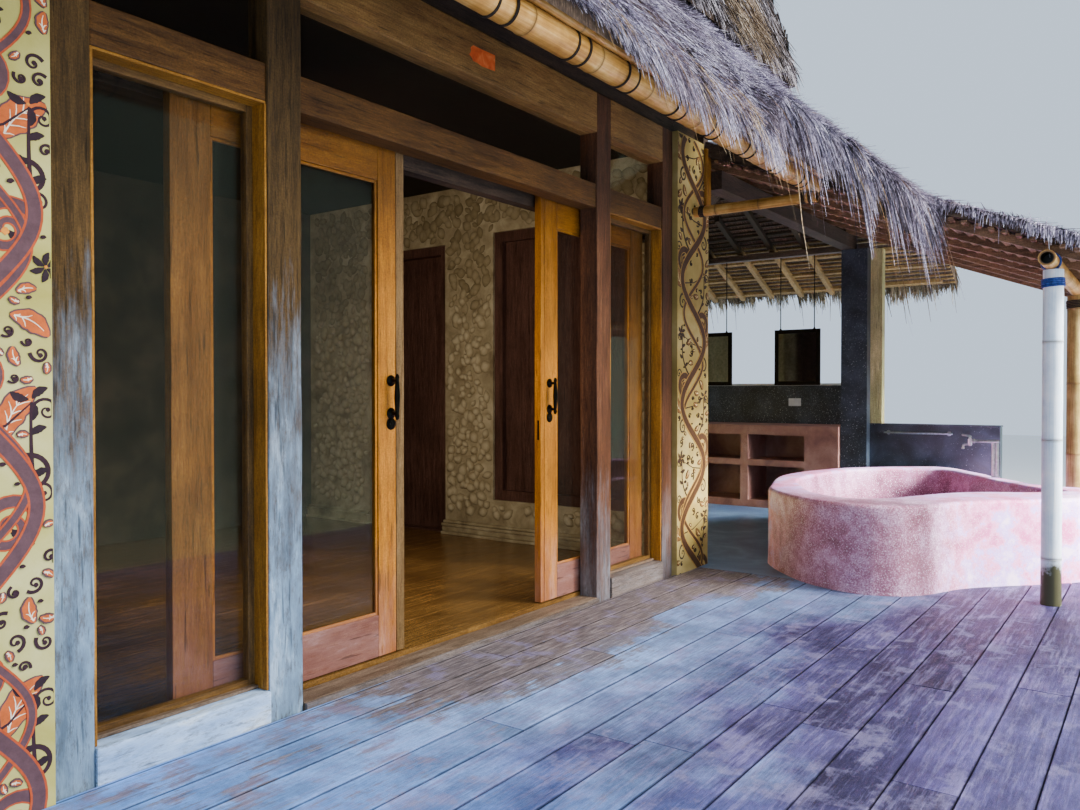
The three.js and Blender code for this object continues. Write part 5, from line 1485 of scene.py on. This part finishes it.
def paintWall(name, x0, x1, tones, seed):
    # a broad stem swings from side to side; every bend throws a scroll, a veined leaf and a flower, and
    # small curls, leaves and dots fill what is left
    rng = random.Random(seed)
    brush = Brush(x0 + 3, x1 - 3, -36, 2780, muralPlan[tones])
    middle, swing = (x0 + x1) / 2, (x1 - x0) * 0.36
    height = np.linspace(-38, 2780, 130)
    sway = lambda z: middle + swing * math.sin(2 * math.pi * (z + 160 * seed) / 800)
    broad = 0.09 * (x1 - x0) + 6
    for step in range(7):
        z = 30 + step * 400
        hand = 1 if math.cos(2 * math.pi * (z + 160 * seed) / 800) > 0 else -1
        brush.volute((sway(z), z), math.pi / 2 + hand * 0.55, rng.uniform(80, 96), hand, (broad * 0.9, 9), True,
                     1.5)
        brush.volute((sway(z + 140), z + 140), math.pi / 2 - hand * 0.8, rng.uniform(50, 62), -hand, (15, 6))
        brush.leaf((sway(z + 190) + hand * 14, z + 195), math.pi / 2 + hand * rng.uniform(-0.9, -0.5),
                   rng.uniform(160, 200), rng.uniform(70, 86), "leaf")
        far = x0 + 58 if sway(z + 285) > middle else x1 - 58
        brush.flower((far, z + 300), rng.uniform(46, 56), 6 if step % 2 else 3)
        brush.stroke([(sway(z + 215), z + 215), ((far + sway(z + 240)) / 2, z + 232), (far, z + 290)],
                     [9, 7, 4], "curl")
        for begin, rise, side in ((z + 20, 250, far), (z + 230, 210, x0 + x1 - far)):
            t = np.linspace(0, 1, 24)
            ease = np.sin(math.pi * np.minimum(t * 1.3, 1) / 2)
            root = sway(begin)
            path = np.stack([root + (side - root) * ease * 0.92, begin + rise * t ** 1.25], 1)
            brush.stroke(path, np.linspace(15, 7, 24), "curl")
            turn = math.atan2(path[-1][1] - path[-3][1], path[-1][0] - path[-3][0])
            brush.volute(path[-1], turn, rng.uniform(30, 42), 1 if side < middle else -1, (9, 4), turns=1.3,
                         count=26)
            for place in (8, 13, 18):
                brush.leaf(path[place], turn + (1.1 if place % 2 else -1.1), 46, 22, "petal", 0)
    brush.edged([(middle - 0.85 * swing * math.sin(2 * math.pi * (z + 210 * seed) / 640), z) for z in height],
                broad * 0.5, 10)
    brush.edged([(sway(z), z) for z in height], broad, 12)
    spots = [(rng.uniform(x0 + 10, x1 - 10), rng.uniform(-20, 2770)) for _ in range(1500)]
    fills = ((44, "volute", 10), (36, "flower", 6), (30, "leaf", 12), (22, "volute", 26), (15, "leaf", 30),
             (11, "bud", 24))
    for least, kind, most in fills if tones == "west" else fills[:1] + fills[2:]:
        done = 0
        for x, z in spots:
            free = brush.room(x, z) if done < most else 0
            if free < least:
                continue
            done += 1
            turn = rng.uniform(0, 2 * math.pi)
            if kind == "flower":
                brush.flower((x, z), min(free, 52) - 3, 6)
            elif kind == "volute":
                size = min(free, 38) * 0.72
                foot = (x + size * math.cos(turn), z + size * math.sin(turn))
                brush.volute(foot, turn + math.pi / 2, size, 1, (size * 0.36, 3), turns=1.2, count=22)
            elif kind == "leaf":
                axis = np.array([math.cos(turn), math.sin(turn)])
                brush.leaf(np.array([x, z]) - axis * free * 0.85, turn, free * 1.7, free * 0.8, "leaf", 2)
            else:
                brush.leaf((x - free * 0.6, z), 0.2, free * 1.2, free * 0.9, "curl", 0)
    mural = meshOf(name, metres(brush.points), brush.faces, {"paint": brush.colours})
    dress(mural, "mural")
    print(name, "strokes:", brush.strokes, "faces:", len(brush.faces))


def paintWalls():
    paintWall("muralLeft", -2200, -1887.5, "west", 1)
    paintWall("muralRight", 1887.5, 2336, "east", 2)


# bath bay

def castTub():
    count = 160
    outer, inner = closedCurve(tubOuter, count), closedCurve(tubInner, count)

    def shifted(outline, inwards):
        run = np.roll(outline, -1, axis=0) - np.roll(outline, 1, axis=0)
        run /= np.linalg.norm(run, axis=1)[:, None]
        area = np.sum(outline[:, 0] * np.roll(outline[:, 1], -1) - np.roll(outline[:, 0], -1) * outline[:, 1])
        side = np.stack([-run[:, 1], run[:, 0]], 1) * np.sign(area)
        return outline + side * inwards

    rings = [(shifted(outer, -6), -39.7), (shifted(outer, -4), 0), (shifted(outer, 0), 60),
             (shifted(outer, 0), 250), (shifted(outer, 0), 440), (shifted(outer, 0), 488)]
    for a in (22, 45, 68, 90):
        rings.append((shifted(outer, 24 * (1 - math.cos(math.radians(a)))),
                      488 + 24 * math.sin(math.radians(a))))
    for a in (0, 30, 60, 90):
        rings.append((shifted(inner, -24 * (1 - math.sin(math.radians(a)))),
                      488 + 24 * math.cos(math.radians(a))))
    rings += [(shifted(inner, 14), 330), (shifted(inner, 26), 170), (shifted(inner, 50), 96),
              (shifted(inner, 96), 66), (shifted(inner, 150), 60)]
    points = np.concatenate([np.column_stack([ring, np.full(count, z)]) for ring, z in rings])
    rng = np.random.default_rng(4)
    points[count * 2:count * 6, :2] += rng.normal(0, 0.8, (count * 4, 2))
    faces = roundFaces(len(rings), count)
    # how far each ring is turned to the basin, 0 outside and 1 inside, which sets how much painted shade it
    # gets
    turned = [0.0] * 6 + [0.1, 0.2, 0.3, 0.35] + [0.35, 0.4, 0.6, 0.9] + [1.0] * 5
    shell = meshOf("castTub", metres(points), faces, {"side": np.repeat(turned, count)}, smooth=True)
    dress(turnOutward(shell, 60), "tub", ["tub"])


def plumbTub():
    x, arm, valve, outlet = 4246, 781, -1310, -1262
    parts = []
    for y in (-1496, -1470):
        parts.append(tube("riser", [(x, y, z) for z in (508, 600, 700, arm - 6)] + [(x, y + 3, arm)], 11, 14))
        parts.append(tube("foot", [(x, y, z) for z in (508, 513, 517, 520)], [22, 22, 17, 12], 18))
    parts.append(tube("arm", [(x, y, arm) for y in (-1508, -1504, -1440, -1380, valve)], [9, 12, 11, 11, 11],
                      14))
    parts.append(tube("joint", [(x, y, arm) for y in (valve - 37, valve - 33, valve - 19, valve - 15)],
                      [11, 15, 15, 11], 18))
    parts.append(tube("valve", [(x, valve, z) for z in (arm - 38, arm - 30, arm + 14, arm + 18, arm + 30,
                                                        arm + 34)], [8, 15, 15, 9, 8, 13], 18))
    parts.append(tube("lever", [(x, valve + d, arm + 36 + abs(d) * 0.16) for d in (-10, -6, 0, 30, 52, 58)],
                      [4, 7, 9, 7, 8, 5], 12))
    parts.append(tube("spout", [(x, valve, arm - 27), (x, valve + 18, arm - 25), (x, outlet - 14, arm - 27),
                                (x, outlet - 4, arm - 33), (x, outlet, arm - 44), (x, outlet, arm - 60)], 9,
                      14))
    parts.append(tube("lip", [(x, outlet, arm - z) for z in (50, 53, 60, 62)], [9, 12, 12, 10], 16))
    dress(joined("tubTap", parts), "chrome", ["tub_taps"])


def fitBathBay():
    ledge = block("vanityLedge", (5838, 5976, -6, 1896, 1223.3, 1245), "y", 5)
    dress(ledge, "ledge")
    caps = [block("cap", (5415, 5547, -1355, -357, 847.3, 862), "y", 4),
            block("cap", (5415, 5424.7, -356.7, -251, 847.3, 862), "y", 2)]
    dress(joined("lowWallCap", caps), "terrazzo")
    plate = block("socketPlate", (5843, 5850.2, 560, 690, 1010, 1090), "y", 3)
    dress(plate, "white")
    rail = [tube("rail", [(5385, y, 780) for y in (-975, -969, -392, -386)], [7, 9, 9, 7], 14)]
    for y in (-940, -420):
        rail.append(tube("bracket", [(x, y, 780) for x in (5421, 5417, 5413, 5385)], [20, 20, 8, 7], 14))
    dress(joined("towelRail", rail), "chrome")
    for name, y0, node in (("rightMirror", 230, "mirror_right"), ("leftMirror", 1150, "mirror_left")):
        y1 = y0 + 460
        rim = [timber("stile", (5440, 5460, a, a + 40, 1223, 1777), "z", edge=3, wobble=0, lot=70.1)
               for a in (y0, y1 - 40)]
        rim += [timber("rail", (5440, 5460, y0 + 40, y1 - 40, a, a + 40), "y", edge=3, wobble=0, lot=71.3)
                for a in (1223, 1737)]
        for y in (y0 + 60, y1 - 60):
            rim.append(tube("rod", [(5450, y, z) for z in (1776, 1900, 2200, 2499.7)], 5, 10))
            rim.append(tube("eye", [(5450, y, z) for z in (1777, 1782, 1790)], [12, 12, 6], 14))
        dress(joined(name + "Frame", rim), "iron", [node])
        sheet = block(name + "Sheet", (5446, 5454, y0 + 38, y1 - 38, 1261, 1739), "z", 1)
        dress(sheet, "mirror", [node])
    high, rise, ridge, hipX = (leanToPlan[k] for k in ("under", "rise", "ridge", "hipX"))
    width, pitch, hipRun, sideRun = (leanToPlan[k] for k in ("lath", "pitch", "hipRun", "sideRun"))
    laths = []
    y = -2430
    while y < 770:
        under = high - rise * (ridge - y)
        laths.append((2300, min(5940, hipX + (ridge - y) * hipRun - 12), y, y + width, under - 17, under - 1))
        y += pitch
    front = boardSet("leanToLaths", laths, 1.5, "x", 41)
    dress(front, "rafter")
    laths = []
    x = 4640
    while x < 6390:
        under = high - leanToPlan["sideRise"] * (x - hipX)
        reach = (x - hipX) * sideRun
        laths.append((x, x + width, max(-808, 812 - reach), min(2290, 788 + reach), under - 17, under - 1))
        x += pitch
    side = boardSet("bathLaths", laths, 1.5, "y", 42)
    dress(side, "bathRafter")


setPoles()
finishCarving()
paintWalls()
castTub()
plumbTub()
fitBathBay()
print("walls, bath bay and bamboo ready")


# camera, light and floor

def setStage():
    scene = bpy.context.scene
    lens = bpy.data.cameras.new("photoCamera")
    lens.lens = 29.0
    lens.sensor_width = 36.0
    camera = bpy.data.objects.new("photoCamera", lens)
    camera.location = (-4.69745, -3.55108, 1.5)
    camera.rotation_euler = (math.radians(89.18), 0, math.radians(-54.03))
    scene.collection.objects.link(camera)
    scene.camera = camera
    world = bpy.data.worlds.new("studio")
    world.use_nodes = True
    world.node_tree.nodes["Background"].inputs["Color"].default_value = (0.68, 0.82, 1.0, 1)
    world.node_tree.nodes["Background"].inputs["Strength"].default_value = 1.15
    scene.world = world
    for name, place, aim, size, power in (("frontLight", (3.0, -9.5, 5.0), (0.5, -1.0, 1.2), 6.0, 1550),
                                          ("skyLight", (2.0, -6.0, 9.5), (0.5, 0.0, 2.0), 8.0, 1350),
                                          ("roomLight", (-2.1, -0.2, 1.9), (0.4, 1.0, 1.5), 0.8, 28),
                                          ("tubLight", (2.9, -7.5, 3.2), (2.2, -1.4, 0.6), 2.6, 330)):
        lamp = bpy.data.lights.new(name, "AREA")
        lamp.size = size
        lamp.energy = power
        holder = bpy.data.objects.new(name, lamp)
        holder.visible_camera = holder.visible_glossy = holder.visible_transmission = False
        if name == "tubLight":
            lamp.spread = math.radians(38)
        if name == "roomLight":
            lamp.color = (1.0, 0.86, 0.7)
        holder.location = place
        holder.rotation_euler = (Vector(aim) - Vector(place)).to_track_quat("-Z", "Y").to_euler()
        scene.collection.objects.link(holder)
    # a dark card out in front, seen only in reflections, keeps the panes clear
    deselect()
    bpy.ops.mesh.primitive_plane_add(size=1, location=(6.0, -5.0, 4.0), rotation=(math.radians(90), 0, 0))
    card = bpy.context.object
    card.name = "darkCard"
    card.scale = (44.0, 11.0, 1.0)
    card.visible_camera = card.visible_diffuse = card.visible_shadow = card.visible_transmission = False
    card.data.materials.append(newMaterial("darkFelt", Roughness=1.0, Base_Color=(0.5, 0.62, 0.42, 1))[0])
    deselect()
    bpy.ops.mesh.primitive_plane_add(size=60, location=(0, 0, -0.002))
    floor = bpy.context.object
    floor.name = "studioFloor"
    floor.data.materials.append(newMaterial("paleFloor", Roughness=0.9, Base_Color=(0.78, 0.78, 0.77, 1))[0])


setStage()
sizes = {piece.name: sum(len(face.vertices) - 2 for face in piece.data.polygons)
         for piece in bpy.context.scene.objects if piece.type == "MESH" and piece.name not in cad}
print("added triangles:", sum(sizes.values()), sorted(((n, name) for name, n in sizes.items()),
                                                      reverse=True)[:14])
